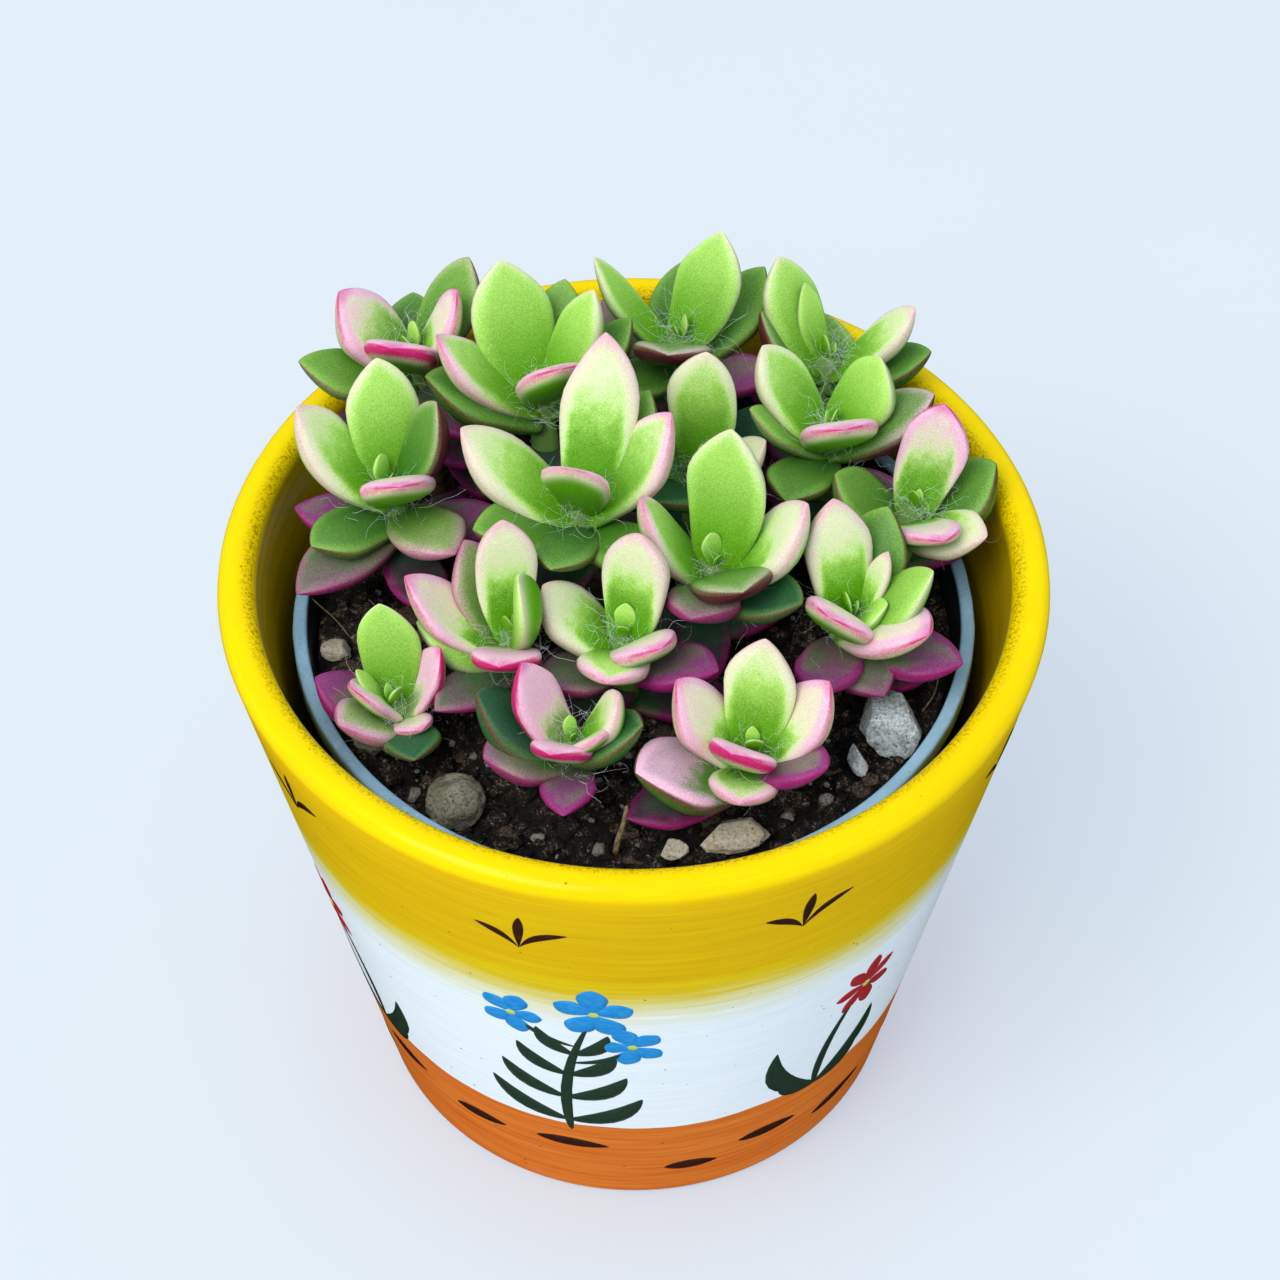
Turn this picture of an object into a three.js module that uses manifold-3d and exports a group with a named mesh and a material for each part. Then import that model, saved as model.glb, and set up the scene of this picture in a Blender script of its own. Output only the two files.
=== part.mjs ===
// Variegated sand rose in its pots: sixteen leafy rosettes grow in a thin nursery pot,
// which stands inside a taller painted clay pot.
// Millimetres, +Z up. The origin is the middle of the clay pot's foot, on the ground.
import * as THREE from 'three';
import { mergeVertices } from 'three/addons/utils/BufferGeometryUtils.js';
import Module from 'manifold-3d';

const wasm = await Module();
wasm.setup();

// Clearance between pieces that rest in or on one another
const GAP = 0.3;

// Clay pot
const POT_HEIGHT = 95;
const POT_RIM_RADIUS = 54;
const POT_FOOT_RADIUS = 38;
const POT_WALL = 5;
const POT_FLOOR = 6;
const POT_LIP_ROUND = 2.2;
const POT_EDGE = 1;
const POT_CORNER = 1.5;
const POT_LIP_STEPS = 3;
const POT_DRAIN_RADIUS = 5;
const POT_SIDES = 48;

// Nursery pot: a standard 9 cm one
const NURSERY_RIM_RADIUS = 45;
const NURSERY_RIM_TOP = 85;
const NURSERY_RIM_WIDTH = 1.9;
const NURSERY_RIM_DEPTH = 3;
const NURSERY_FOOT_RADIUS = 31;
const NURSERY_WALL = 1;
const NURSERY_HOLES = 4;
const NURSERY_HOLE_RADIUS = 3;
const NURSERY_HOLE_RING = 20;
const NURSERY_HOLE_SIDES = 16;
const NURSERY_SIDES = 40;

// Soil
const SOIL_TOP = 80;
const SOIL_RINGS = 5;
const SOIL_SIDES = 32;
const SOIL_LUMP = 0.9;

// Stems
const STEM_FOOT_RADIUS = 2.3;
const STEM_CROWN_RADIUS = 1.7;
const STEM_DEPTH = 12;
const STEM_SIDES = 6;
const STEM_SPREAD = 7;
const STEM_BALLS = [2, 6, 10, 14];
const STEM_LEAN = 0.16;

// Leaf form, as shares of the leaf's length or width
const LEAF_ROOT_WIDTH = 0.36;
const LEAF_WIDEST = 0.6;
const LEAF_TIP_POWER = 0.56;
const LEAF_RISE = 0.13;
const LEAF_DEPTH = 0.3;
const LEAF_ARCH = 0.06;
const LEAF_RINGS = [0, 0.42, 0.74, 0.93];
const LEAF_CORNERS = [0, 90, 180, 237, 303];
const SMALL_LEAF = 7;
const SMALL_LEAF_RINGS = [0, 0.65];
const SMALL_LEAF_CORNERS = [0, 90, 180, 270];

// The two newest leaves at a rosette's heart: lift, length and width
const HEART_LEAVES = [[80, 6.5, 3.6], [74, 5, 3]];
const HEART_DROP = 0.5;
// The oldest leaves, one below the other down a stem, each a turn on from the last
const OLD_LEAF = { lift: 4, length: 13.5, width: 8, drop: 10.5, step: 2.4, turn: 137.5 };

// How crowded leaves make room for each other
const SETTLE_ROUNDS = 80;
const SETTLE_SHARE = 0.35;
const SETTLE_MOST = 0.05;
const CROWD_GAP = 0.5;
const FAMILY_OVERLAP = 0.4;
const LEAF_REACH = 53.2;
const FREE_PART = 0.6;

// Each leaf of a rosette: heading and lift in degrees, length and width in millimetres.
// A heading of 0 is along +X and 90 along +Y; the crown is the rosette's heart.
const ROSETTES = [
  {
    name: 'rosette_back_left', crown: [-30, 30, 103], heart: 40, old: 3,
    leaves: [
      [160, 45, 15, 10.5], [257, 52, 14, 10], [190, 24, 17, 9], [10, 62, 14, 7],
      [48, 46, 17, 8.5], [95, 18, 14, 9], [315, 10, 14, 8],
    ],
  },
  {
    name: 'rosette_left', crown: [-32.2, 10, 98], heart: 145, old: 2,
    leaves: [
      [103, 58, 19, 9.8], [165, 50, 19, 10], [20, 66, 17, 8.5], [284, 53, 14, 10],
      [217, 14, 14, 9], [225, 0, 18, 9], [308, 19, 15, 9.5], [175, 5, 14, 8], [355, 5, 15, 8],
    ],
  },
  {
    name: 'rosette_back', crown: [-12.5, 22.9, 103], heart: 125, old: 4,
    leaves: [
      [115, 56, 20, 11.2], [35, 62, 18, 8], [28, 36, 19, 9], [75, 38, 18, 9],
      [177, 45, 19, 9], [188, 24, 18, 10], [293, 60, 14, 9], [105, 12, 16, 9],
    ],
  },
  {
    name: 'rosette_middle', crown: [-6.7, 3.7, 102], heart: 100, old: 4,
    leaves: [
      [80, 57, 24, 10.2], [165, 38, 20.5, 10.5], [252, 66, 15, 9], [22, 50, 19, 10],
      [206, 24, 17, 10], [252, 20, 13, 8.5], [315, 20, 14, 9], [52, 38, 19, 9],
    ],
  },
  {
    name: 'rosette_far_back', crown: [6.1, 31.7, 104], heart: 20, old: 4,
    leaves: [
      [57, 57, 17.5, 9.5], [165, 50, 18.5, 6], [266, 44, 15, 10.5], [35, 26, 18, 9],
      [222, 22, 13, 8], [88, 20, 16, 9], [135, 14, 15, 8], [345, 12, 14, 8],
    ],
  },
  {
    name: 'rosette_inner_back', crown: [8.7, 13.6, 98], heart: 60, old: 3,
    leaves: [
      [87, 66, 18, 9.2], [150, 48, 13, 8], [234, 32, 12, 7.5], [15, 36, 12, 6.5],
      [52, 24, 15, 8], [300, 15, 13, 8],
    ],
  },
  {
    name: 'rosette_centre', crown: [10.5, -4.9, 99], heart: 120, old: 3,
    leaves: [
      [70, 70, 20.5, 10.6], [5, 49, 18, 10], [178, 45, 17, 8.5], [287, 42, 15, 10],
      [252, 30, 13, 9.5], [325, 20, 15, 9],
    ],
  },
  {
    name: 'rosette_back_right', crown: [26.5, 33, 99], heart: 200, old: 3,
    leaves: [
      [138, 56, 18, 9], [135, 66, 13, 4.5], [170, 44, 14, 7.5], [0, 48, 17, 7],
      [352, 28, 16, 8], [80, 15, 11, 8],
    ],
  },
  {
    name: 'rosette_right_back', crown: [26.2, 18.8, 100], heart: 330, old: 3,
    leaves: [
      [148, 50, 16.5, 9], [30, 60, 14, 9.5], [282, 47, 14, 10.3], [355, 36, 17, 9.5],
      [247, 18, 14, 9], [195, 30, 14, 7],
    ],
  },
  {
    name: 'rosette_right', crown: [36.9, 8, 96], heart: 240, old: 2,
    leaves: [
      [70, 62, 17, 9], [10, 28, 15, 10.5], [335, 30, 14, 9], [285, 37, 15, 8.5],
      [165, 40, 13, 9], [120, 15, 12, 8],
    ],
  },
  {
    name: 'rosette_right_front', crown: [27.9, -8.9, 94], heart: 200, old: 1,
    leaves: [
      [115, 68, 18, 9.2], [30, 62, 12, 4], [335, 54, 9, 6], [355, 46, 16, 9],
      [320, 40, 16, 10], [230, 54, 14, 9.8], [256, 15, 13.5, 8.5], [335, 13, 17, 9],
      [60, 45, 17, 9.5], [295, 4, 12, 8],
    ],
  },
  {
    name: 'rosette_front_right', crown: [15, -29.1, 91], heart: 90, old: 0,
    leaves: [
      [75, 68, 17, 9.2], [20, 52, 16, 9], [150, 46, 16, 9], [245, 54, 13, 9],
      [263, 30, 12, 8.8], [196, 27, 17.5, 12], [322, 36, 14, 8.5], [212, 0, 17, 8],
    ],
  },
  {
    name: 'rosette_front', crown: [-7.6, -27.3, 91], heart: 110, old: 0,
    leaves: [
      [150, 56, 15, 8], [0, 62, 12.5, 7], [256, 50, 12, 7.5], [305, 48, 11, 6],
      [205, 30, 14, 9], [176, 38, 16, 9.5], [337, 40, 13, 8.5], [265, 20, 13, 7.2],
    ],
  },
  {
    name: 'rosette_left_centre', crown: [-15.6, -12.6, 94], heart: 220, old: 1,
    leaves: [
      [103, 72, 18, 8], [165, 40, 18, 8.5], [268, 42, 13, 9], [0, 66, 15, 8],
      [185, 25, 14, 9], [226, 14, 17, 9.5], [135, 42, 16, 8.5],
    ],
  },
  {
    name: 'rosette_left_front', crown: [-30.7, -19.4, 89], heart: 140, old: 0,
    leaves: [
      [88, 62, 15, 8], [25, 52, 12, 6.5], [185, 62, 10, 3.5], [215, 55, 11, 6.5],
      [220, 20, 13, 9], [297, 36, 8, 5.5], [279, 26, 12, 8], [175, 24, 13, 8],
    ],
  },
  {
    name: 'rosette_centre_front', crown: [-1.2, -13.5, 95], heart: 80, old: 2,
    leaves: [
      [62, 70, 17, 9.2], [170, 44, 14, 9.5], [301, 45, 13, 9], [258, 35, 13, 9.3],
      [325, 22, 15, 9], [210, 15, 13, 8],
    ],
  },
];

// Stones on the soil: middle, half sizes, turn about Z in degrees, and triangle detail
const STONES = [
  { name: 'stone_round', at: [-22.6, -29.7, 81.6], half: [4.1, 4, 3.4], turn: 20, detail: 2 },
  { name: 'stone_pale', at: [33.2, -17.7, 82.6], half: [4.3, 5.4, 4.2], turn: 20, detail: 2 },
  { name: 'stone_chip', at: [28.7, -23, 81.7], half: [1.4, 2.6, 1.5], turn: 15, detail: 1 },
  { name: 'stone_flat', at: [12.6, -34.8, 82], half: [5, 3.2, 1.8], turn: 18, detail: 1 },
  { name: 'stone_small', at: [5, -37, 81.4], half: [2, 1.6, 1.2], turn: 0, detail: 1 },
  { name: 'stone_left', at: [-39.2, -4.2, 81.4], half: [2.3, 1.8, 1.5], turn: 0, detail: 1 },
  { name: 'stone_grey', at: [-34.2, -19.2, 81.4], half: [2.8, 2.1, 1.7], turn: 120, detail: 1 },
];
const STONE_ROUGHNESS = 0.09;

// How far a joined surface may move as its needless points are dropped, and how close
// two points are one
const SURFACE_TOLERANCE = 0.12;
const MERGE_DISTANCE = 1e-4;

const rad = THREE.MathUtils.degToRad;

// A closed triangle mesh as a solid that can be joined and cut
function solidOf(geometry) {
  const bare = geometry.clone();
  bare.deleteAttribute('normal');
  bare.deleteAttribute('uv');
  const merged = mergeVertices(bare, MERGE_DISTANCE);
  const corners = merged.index.array;
  const kept = [];
  for (let i = 0; i < corners.length; i += 3) {
    const [a, b, c] = [corners[i], corners[i + 1], corners[i + 2]];
    if (a !== b && b !== c && c !== a) {
      kept.push(a, b, c);
    }
  }
  return new wasm.Manifold(new wasm.Mesh({
    numProp: 3,
    vertProperties: merged.attributes.position.array,
    triVerts: new Uint32Array(kept),
  }));
}

// A solid as a mesh geometry again
function geometryOf(solid) {
  const mesh = solid.simplify(SURFACE_TOLERANCE).getMesh();
  const geometry = new THREE.BufferGeometry();
  geometry.setAttribute('position', new THREE.BufferAttribute(mesh.vertProperties, 3));
  geometry.setIndex(new THREE.BufferAttribute(mesh.triVerts, 1));
  geometry.computeVertexNormals();
  return geometry;
}

// A shape of revolution about Z from [radius, height] points
function turned(profile, sides) {
  const points = profile.map(([radius, height]) => new THREE.Vector2(radius, height));
  const geometry = new THREE.LatheGeometry(points, sides);
  return geometry.rotateX(Math.PI / 2);
}

// Points on a quarter round of the lip, from one angle to another in degrees
function arc(centreRadius, centreHeight, round, from, to) {
  return Array.from({ length: POT_LIP_STEPS + 1 }, (_, i) => {
    const angle = rad(from + (to - from) * i / POT_LIP_STEPS);
    return [centreRadius + round * Math.cos(angle), centreHeight + round * Math.sin(angle)];
  });
}

// Clay pot

function potOuterRadius(height) {
  return POT_FOOT_RADIUS + (POT_RIM_RADIUS - POT_FOOT_RADIUS) * height / POT_HEIGHT;
}

function potInnerRadius(height) {
  return potOuterRadius(height) - POT_WALL;
}

function potGeometry() {
  const lip = POT_HEIGHT - POT_LIP_ROUND;
  const outerLip = arc(POT_RIM_RADIUS - POT_LIP_ROUND, lip, POT_LIP_ROUND, 0, 90);
  const innerLip = arc(POT_RIM_RADIUS - POT_WALL + POT_LIP_ROUND, lip, POT_LIP_ROUND, 90, 180);
  return turned([
    [POT_DRAIN_RADIUS, 0],
    [POT_FOOT_RADIUS - POT_EDGE, 0],
    [potOuterRadius(POT_EDGE), POT_EDGE],
    ...outerLip,
    ...innerLip,
    [potInnerRadius(POT_FLOOR + POT_CORNER), POT_FLOOR + POT_CORNER],
    [potInnerRadius(POT_FLOOR) - POT_CORNER, POT_FLOOR],
    [POT_DRAIN_RADIUS, POT_FLOOR],
    [POT_DRAIN_RADIUS, 0],
  ], POT_SIDES);
}

// Nursery pot

const NURSERY_FOOT = POT_FLOOR + GAP;

function nurseryInnerRadius(height) {
  const share = (height - NURSERY_FOOT) / (NURSERY_RIM_TOP - NURSERY_FOOT);
  const foot = NURSERY_FOOT_RADIUS - NURSERY_WALL;
  return foot + (NURSERY_RIM_RADIUS - NURSERY_RIM_WIDTH - foot) * share;
}

function nurseryPot() {
  const rimFoot = NURSERY_RIM_TOP - NURSERY_RIM_DEPTH;
  const floor = NURSERY_FOOT + NURSERY_WALL;
  const shell = solidOf(turned([
    [0, NURSERY_FOOT],
    [NURSERY_FOOT_RADIUS, NURSERY_FOOT],
    [nurseryInnerRadius(rimFoot) + NURSERY_WALL, rimFoot],
    [NURSERY_RIM_RADIUS, rimFoot + GAP],
    [NURSERY_RIM_RADIUS, NURSERY_RIM_TOP],
    [nurseryInnerRadius(NURSERY_RIM_TOP), NURSERY_RIM_TOP],
    [nurseryInnerRadius(floor), floor],
    [0, floor],
  ], NURSERY_SIDES));
  const holes = Array.from({ length: NURSERY_HOLES }, (_, i) => {
    const angle = 2 * Math.PI * (i + 0.5) / NURSERY_HOLES;
    const hole = new THREE.CylinderGeometry(
      NURSERY_HOLE_RADIUS, NURSERY_HOLE_RADIUS, 4 * NURSERY_WALL, NURSERY_HOLE_SIDES);
    hole.rotateX(Math.PI / 2);
    hole.translate(
      NURSERY_HOLE_RING * Math.cos(angle), NURSERY_HOLE_RING * Math.sin(angle), NURSERY_FOOT);
    return solidOf(hole);
  });
  return holes.reduce((pot, hole) => pot.subtract(hole), shell);
}

// Soil

function soilLumps(x, y) {
  return SOIL_LUMP * (
    0.5 * Math.sin(0.33 * x + 1.1) * Math.cos(0.29 * y - 0.4)
    + 0.35 * Math.sin(0.61 * x - 0.47 * y + 2)
    + 0.25 * Math.cos(0.83 * x + 0.71 * y));
}

function soilHeight(x, y) {
  return SOIL_TOP + soilLumps(x, y);
}

function soilBody() {
  const foot = NURSERY_FOOT + NURSERY_WALL + GAP;
  const rim = nurseryInnerRadius(SOIL_TOP) - GAP;
  const surface = Array.from({ length: SOIL_RINGS + 1 }, (_, i) => {
    return [rim * (1 - i / SOIL_RINGS), SOIL_TOP];
  });
  const geometry = turned(
    [[0, foot], [nurseryInnerRadius(foot) - GAP, foot], ...surface], SOIL_SIDES);
  const position = geometry.attributes.position;
  for (let i = 0; i < position.count; i += 1) {
    const [x, y, z] = [position.getX(i), position.getY(i), position.getZ(i)];
    if (z > SOIL_TOP - 0.01 && Math.hypot(x, y) < rim - 0.01) {
      position.setZ(i, soilHeight(x, y));
    }
  }
  return solidOf(geometry);
}

// Stones

function stoneGeometry(stone, swell) {
  const geometry = new THREE.IcosahedronGeometry(1, stone.detail);
  const position = geometry.attributes.position;
  const point = new THREE.Vector3();
  const [hx, hy, hz] = stone.half;
  for (let i = 0; i < position.count; i += 1) {
    point.fromBufferAttribute(position, i).normalize();
    const dent = STONE_ROUGHNESS * (
      Math.sin(3.1 * point.x + 2.3 * point.y + hx)
      + Math.cos(4.3 * point.y - 3.7 * point.z + hy));
    point.multiplyScalar(1 - Math.abs(dent));
    point.set(point.x * (hx + swell), point.y * (hy + swell), point.z * (hz + swell));
    position.setXYZ(i, point.x, point.y, point.z);
  }
  geometry.rotateZ(rad(stone.turn));
  return geometry.translate(...stone.at);
}

// Leaves

// Half width of a leaf along its length, as a share of its greatest half width
function leafFullness(along) {
  if (along < LEAF_WIDEST) {
    const grown = Math.sin(Math.PI / 2 * along / LEAF_WIDEST);
    return LEAF_ROOT_WIDTH + (1 - LEAF_ROOT_WIDTH) * grown;
  }
  const past = (along - LEAF_WIDEST) / (1 - LEAF_WIDEST);
  return (1 - past * past) ** LEAF_TIP_POWER;
}

function direction(heading, lift) {
  const level = Math.cos(rad(lift));
  return new THREE.Vector3(
    level * Math.cos(rad(heading)), level * Math.sin(rad(heading)), Math.sin(rad(lift)));
}

// The sideways and upward directions of a leaf that points along `pointing`
function leafAxes(leaf) {
  const level = new THREE.Vector3(-Math.sin(rad(leaf.heading)), Math.cos(rad(leaf.heading)), 0);
  const side = level.addScaledVector(leaf.pointing, -level.dot(leaf.pointing)).normalize();
  const up = new THREE.Vector3().crossVectors(leaf.pointing, side);
  return { side, up };
}

// A point of a leaf: `along` 0 to 1, `across` in half widths, `rise` in leaf widths
function leafPoint(leaf, axes, along, across, rise, swell) {
  const fullness = leafFullness(along);
  const halfWidth = leaf.width / 2 * fullness + swell;
  const arch = -LEAF_ARCH * leaf.length * 4 * along * (1 - along);
  const lifted = rise * leaf.width * fullness + Math.sign(rise) * swell;
  return leaf.root.clone()
    .addScaledVector(leaf.pointing, leaf.length * along)
    .addScaledVector(axes.side, across * halfWidth)
    .addScaledVector(axes.up, arch + lifted);
}

function leafGeometry(leaf, swell) {
  const axes = leafAxes(leaf);
  const small = leaf.length < SMALL_LEAF;
  const rings = small ? SMALL_LEAF_RINGS : LEAF_RINGS;
  const corners = small ? SMALL_LEAF_CORNERS : LEAF_CORNERS;
  const points = rings.flatMap((along) => corners.map((corner) => {
    const height = Math.sin(rad(corner));
    const rise = height * (height > 0 ? LEAF_RISE : LEAF_DEPTH);
    return leafPoint(leaf, axes, along, Math.cos(rad(corner)), rise, swell);
  }));
  const tip = leafPoint(leaf, axes, 1, 0, 0, 0).addScaledVector(leaf.pointing, 2 * swell);
  points.push(tip);
  const sides = corners.length;
  const faces = [];
  for (let ring = 0; ring < rings.length; ring += 1) {
    for (let i = 0; i < sides; i += 1) {
      const near = ring * sides + i;
      const beside = ring * sides + (i + 1) % sides;
      if (ring === rings.length - 1) {
        faces.push(near, beside, points.length - 1);
      } else {
        faces.push(near, beside, near + sides);
        faces.push(beside, beside + sides, near + sides);
      }
    }
  }
  for (let i = 2; i < sides; i += 1) {
    faces.push(0, i, i - 1);
  }
  const geometry = new THREE.BufferGeometry().setFromPoints(points);
  geometry.setIndex(faces);
  return geometry;
}

// Rosettes

const DOWN = new THREE.Vector3(0, 0, -1);

// The stem runs from below the soil to the crown, leaning away from the pot's middle
function stemOf(rosette) {
  const crown = new THREE.Vector3(...rosette.crown);
  const foot = new THREE.Vector3(
    crown.x * (1 - STEM_LEAN), crown.y * (1 - STEM_LEAN), SOIL_TOP - STEM_DEPTH);
  return { crown, foot, axis: crown.clone().sub(foot).normalize() };
}

function leavesOf(rosette) {
  const stem = stemOf(rosette);
  const grow = (heading, lift, length, width, drop) => ({
    rosette, heading, length, width,
    root: stem.crown.clone().addScaledVector(stem.axis, -drop),
    pointing: direction(heading, lift),
  });
  const seen = rosette.leaves.map(([heading, lift, length, width]) => {
    return grow(heading, lift, length, width, STEM_SPREAD * (1 - lift / 90));
  });
  const heart = HEART_LEAVES.map(([lift, length, width], i) => {
    return grow(rosette.heart + 180 * i, lift, length, width, HEART_DROP);
  });
  const old = Array.from({ length: rosette.old }, (_, i) => {
    const heading = rosette.heart + OLD_LEAF.turn * (i + 1);
    const drop = OLD_LEAF.drop + OLD_LEAF.step * i;
    return grow(heading, OLD_LEAF.lift, OLD_LEAF.length, OLD_LEAF.width, drop);
  });
  return [...seen, ...heart, ...old];
}

// Balls that stand for a leaf while it makes room: along, across and share of thickness
const LEAF_BALLS = [
  [0.38, 0, 0.95], [0.6, -0.5, 0.8], [0.6, 0, 1], [0.6, 0.5, 0.8],
  [0.82, -0.4, 0.85], [0.82, 0.4, 0.85], [0.95, 0, 0.9],
];
const HALF_THICKNESS = (LEAF_RISE + LEAF_DEPTH) / 2;
const MID_RISE = (LEAF_RISE - LEAF_DEPTH) / 2;

function leafBalls(leaf) {
  const axes = leafAxes(leaf);
  return LEAF_BALLS.map(([along, across, share]) => ({
    leaf, along,
    at: leafPoint(leaf, axes, along, across, MID_RISE, 0),
    radius: share * HALF_THICKNESS * leaf.width * leafFullness(along),
  }));
}

// Balls that stand for the stems and stones, which don't give way
function fixedBalls() {
  const stems = ROSETTES.flatMap((rosette) => {
    const { crown, axis } = stemOf(rosette);
    return STEM_BALLS.map((below) => ({
      rosette, at: crown.clone().addScaledVector(axis, -below), radius: STEM_FOOT_RADIUS,
    }));
  });
  const stones = STONES.map((stone) => ({
    at: new THREE.Vector3(...stone.at), radius: (stone.half[0] + stone.half[2]) / 2,
  }));
  return [...stems, ...stones];
}

// The push that clears a ball from the pots and the soil
function pushFromPots(ball) {
  const push = new THREE.Vector3();
  const { x, y, z } = ball.at;
  const reach = Math.hypot(x, y);
  const room = ball.radius + CROWD_GAP;
  const inward = new THREE.Vector3(-x / reach, -y / reach, 0);
  const clear = (limit, top) => {
    const over = reach - (limit - room);
    const under = top + room - z;
    if (over > 0 && under > 0) {
      push.addScaledVector(over < under ? inward : DOWN, over < under ? over : -under);
    }
  };
  clear(potInnerRadius(Math.min(z, POT_HEIGHT)), POT_HEIGHT);
  clear(nurseryInnerRadius(NURSERY_RIM_TOP), NURSERY_RIM_TOP);
  const past = reach + ball.radius - LEAF_REACH;
  if (past > 0) {
    push.addScaledVector(inward, past);
  }
  const sunk = soilHeight(x, y) + room - z;
  if (sunk > 0) {
    push.z += sunk;
  }
  return push;
}

// Crowded leaves turn away from each other, from the stones, the soil and the pots
function settle(leaves) {
  const fixed = fixedBalls();
  const between = new THREE.Vector3();
  for (let round = 0; round < SETTLE_ROUNDS; round += 1) {
    const balls = leaves.flatMap(leafBalls);
    balls.forEach((ball) => {
      ball.push = pushFromPots(ball);
    });
    balls.forEach((ball, i) => {
      for (let j = i + 1; j < balls.length; j += 1) {
        const other = balls[j];
        const family = ball.leaf.rosette === other.leaf.rosette;
        if (ball.leaf !== other.leaf && !(family && Math.min(ball.along, other.along) < FREE_PART)) {
          between.subVectors(ball.at, other.at);
          const room = ball.radius + other.radius + (family ? -FAMILY_OVERLAP : CROWD_GAP);
          const distance = between.length();
          if (distance < room) {
            between.multiplyScalar((room - distance) / 2 / distance);
            ball.push.add(between);
            other.push.sub(between);
          }
        }
      }
      fixed.filter((other) => other.rosette !== ball.leaf.rosette).forEach((other) => {
        between.subVectors(ball.at, other.at);
        const room = ball.radius + other.radius + CROWD_GAP;
        const distance = between.length();
        if (distance < room) {
          ball.push.addScaledVector(between, (room - distance) / distance);
        }
      });
    });
    balls.forEach(({ leaf, along, push }) => {
      leaf.turn ??= new THREE.Vector3();
      leaf.turn.addScaledVector(push, SETTLE_SHARE / (leaf.length * along));
    });
    leaves.forEach((leaf) => {
      leaf.pointing.add(leaf.turn.clampLength(0, SETTLE_MOST)).normalize();
      leaf.turn.set(0, 0, 0);
    });
  }
}

// A round bar between two points, tapering from one radius to the other
function bar(from, to, fromRadius, toRadius) {
  const along = new THREE.Vector3().subVectors(to, from);
  const geometry = new THREE.CylinderGeometry(toRadius, fromRadius, along.length(), STEM_SIDES);
  geometry.translate(0, along.length() / 2, 0);
  const turn = new THREE.Quaternion().setFromUnitVectors(
    new THREE.Vector3(0, 1, 0), along.clone().normalize());
  geometry.applyQuaternion(turn);
  return solidOf(geometry.translate(from.x, from.y, from.z));
}

function rosetteSolid(rosette, leaves, swell) {
  const { crown, foot, axis } = stemOf(rosette);
  const start = foot.clone().addScaledVector(axis, -swell);
  const stem = bar(start, crown, STEM_FOOT_RADIUS + swell, STEM_CROWN_RADIUS + swell);
  const blades = leaves.map((leaf) => solidOf(leafGeometry(leaf, swell)));
  return wasm.Manifold.union([stem, ...blades]);
}

function stemHole(rosette) {
  const { crown, foot, axis } = stemOf(rosette);
  const start = foot.clone().addScaledVector(axis, -GAP);
  const radius = STEM_FOOT_RADIUS + GAP;
  return bar(start, crown, radius, radius);
}

// The largest piece of a cut solid
function mainPiece(solid) {
  return solid.decompose().reduce((a, b) => (b.volume() > a.volume() ? b : a));
}

// Materials

const PAINT = new THREE.MeshStandardMaterial({ color: 0xf2c511, roughness: 0.35, metalness: 0 });
const PLASTIC = new THREE.MeshStandardMaterial({ color: 0x7f95a6, roughness: 0.5, metalness: 0 });
const EARTH = new THREE.MeshStandardMaterial({ color: 0x241d1b, roughness: 1, metalness: 0 });
const STONE = new THREE.MeshStandardMaterial({ color: 0x9b9a94, roughness: 0.85, metalness: 0 });
const FLESH = new THREE.MeshStandardMaterial({ color: 0x8fb35a, roughness: 0.45, metalness: 0 });

const plant = new THREE.Group();

function place(name, geometry, material) {
  const mesh = new THREE.Mesh(geometry, material.clone());
  mesh.name = name;
  plant.add(mesh);
}

const foliage = ROSETTES.map(leavesOf);
settle(foliage.flat());

// Where a rosette still meets a stone or an earlier rosette, it gives way
const stoneDents = STONES.map((stone) => solidOf(stoneGeometry(stone, GAP)));
const taken = [...stoneDents];
const rosettes = ROSETTES.map((rosette, i) => {
  let solid = rosetteSolid(rosette, foliage[i], 0);
  taken.forEach((space) => {
    if (solid.intersect(space).volume() > 0) {
      solid = mainPiece(solid.subtract(space));
    }
  });
  taken.push(rosetteSolid(rosette, foliage[i], GAP));
  return solid;
});

let soil = soilBody();
stoneDents.forEach((dent) => {
  soil = soil.subtract(dent);
});
ROSETTES.forEach((rosette) => {
  soil = soil.subtract(stemHole(rosette));
});

place('pot', potGeometry(), PAINT);
place('nursery_pot', geometryOf(nurseryPot()), PLASTIC);
place('soil', geometryOf(mainPiece(soil)), EARTH);
STONES.forEach((stone) => place(stone.name, stoneGeometry(stone, 0), STONE));
ROSETTES.forEach((rosette, i) => place(rosette.name, geometryOf(rosettes[i]), FLESH));

export default plant;
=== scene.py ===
"""Potted variegated sand rose: sixteen fleshy rosettes grow in gritty soil, in a thin nursery pot
that stands inside a painted clay pot. Metres, +Z up, with the origin under the pot's middle."""

import math
from random import Random

import bmesh
import bpy
import numpy as np
from bpy.props import FloatProperty, FloatVectorProperty, IntProperty, PointerProperty
from mathutils import Matrix, Vector, noise


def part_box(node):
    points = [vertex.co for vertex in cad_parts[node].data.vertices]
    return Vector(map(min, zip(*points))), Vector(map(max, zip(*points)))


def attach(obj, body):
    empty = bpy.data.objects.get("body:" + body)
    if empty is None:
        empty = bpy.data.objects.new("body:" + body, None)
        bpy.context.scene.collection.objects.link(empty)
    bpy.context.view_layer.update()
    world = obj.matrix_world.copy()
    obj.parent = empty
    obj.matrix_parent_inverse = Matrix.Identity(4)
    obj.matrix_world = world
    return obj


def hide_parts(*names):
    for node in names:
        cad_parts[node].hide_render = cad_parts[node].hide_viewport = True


bl_info = {
    "name": "Potted sand rose",
    "version": (1, 0, 0),
    "blender": (4, 5, 0),
    "location": "3D View > Sidebar > Sand Rose",
    "description": "Builds the fine surfaces of a potted variegated sand rose",
    "category": "Add Mesh",
}

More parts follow.
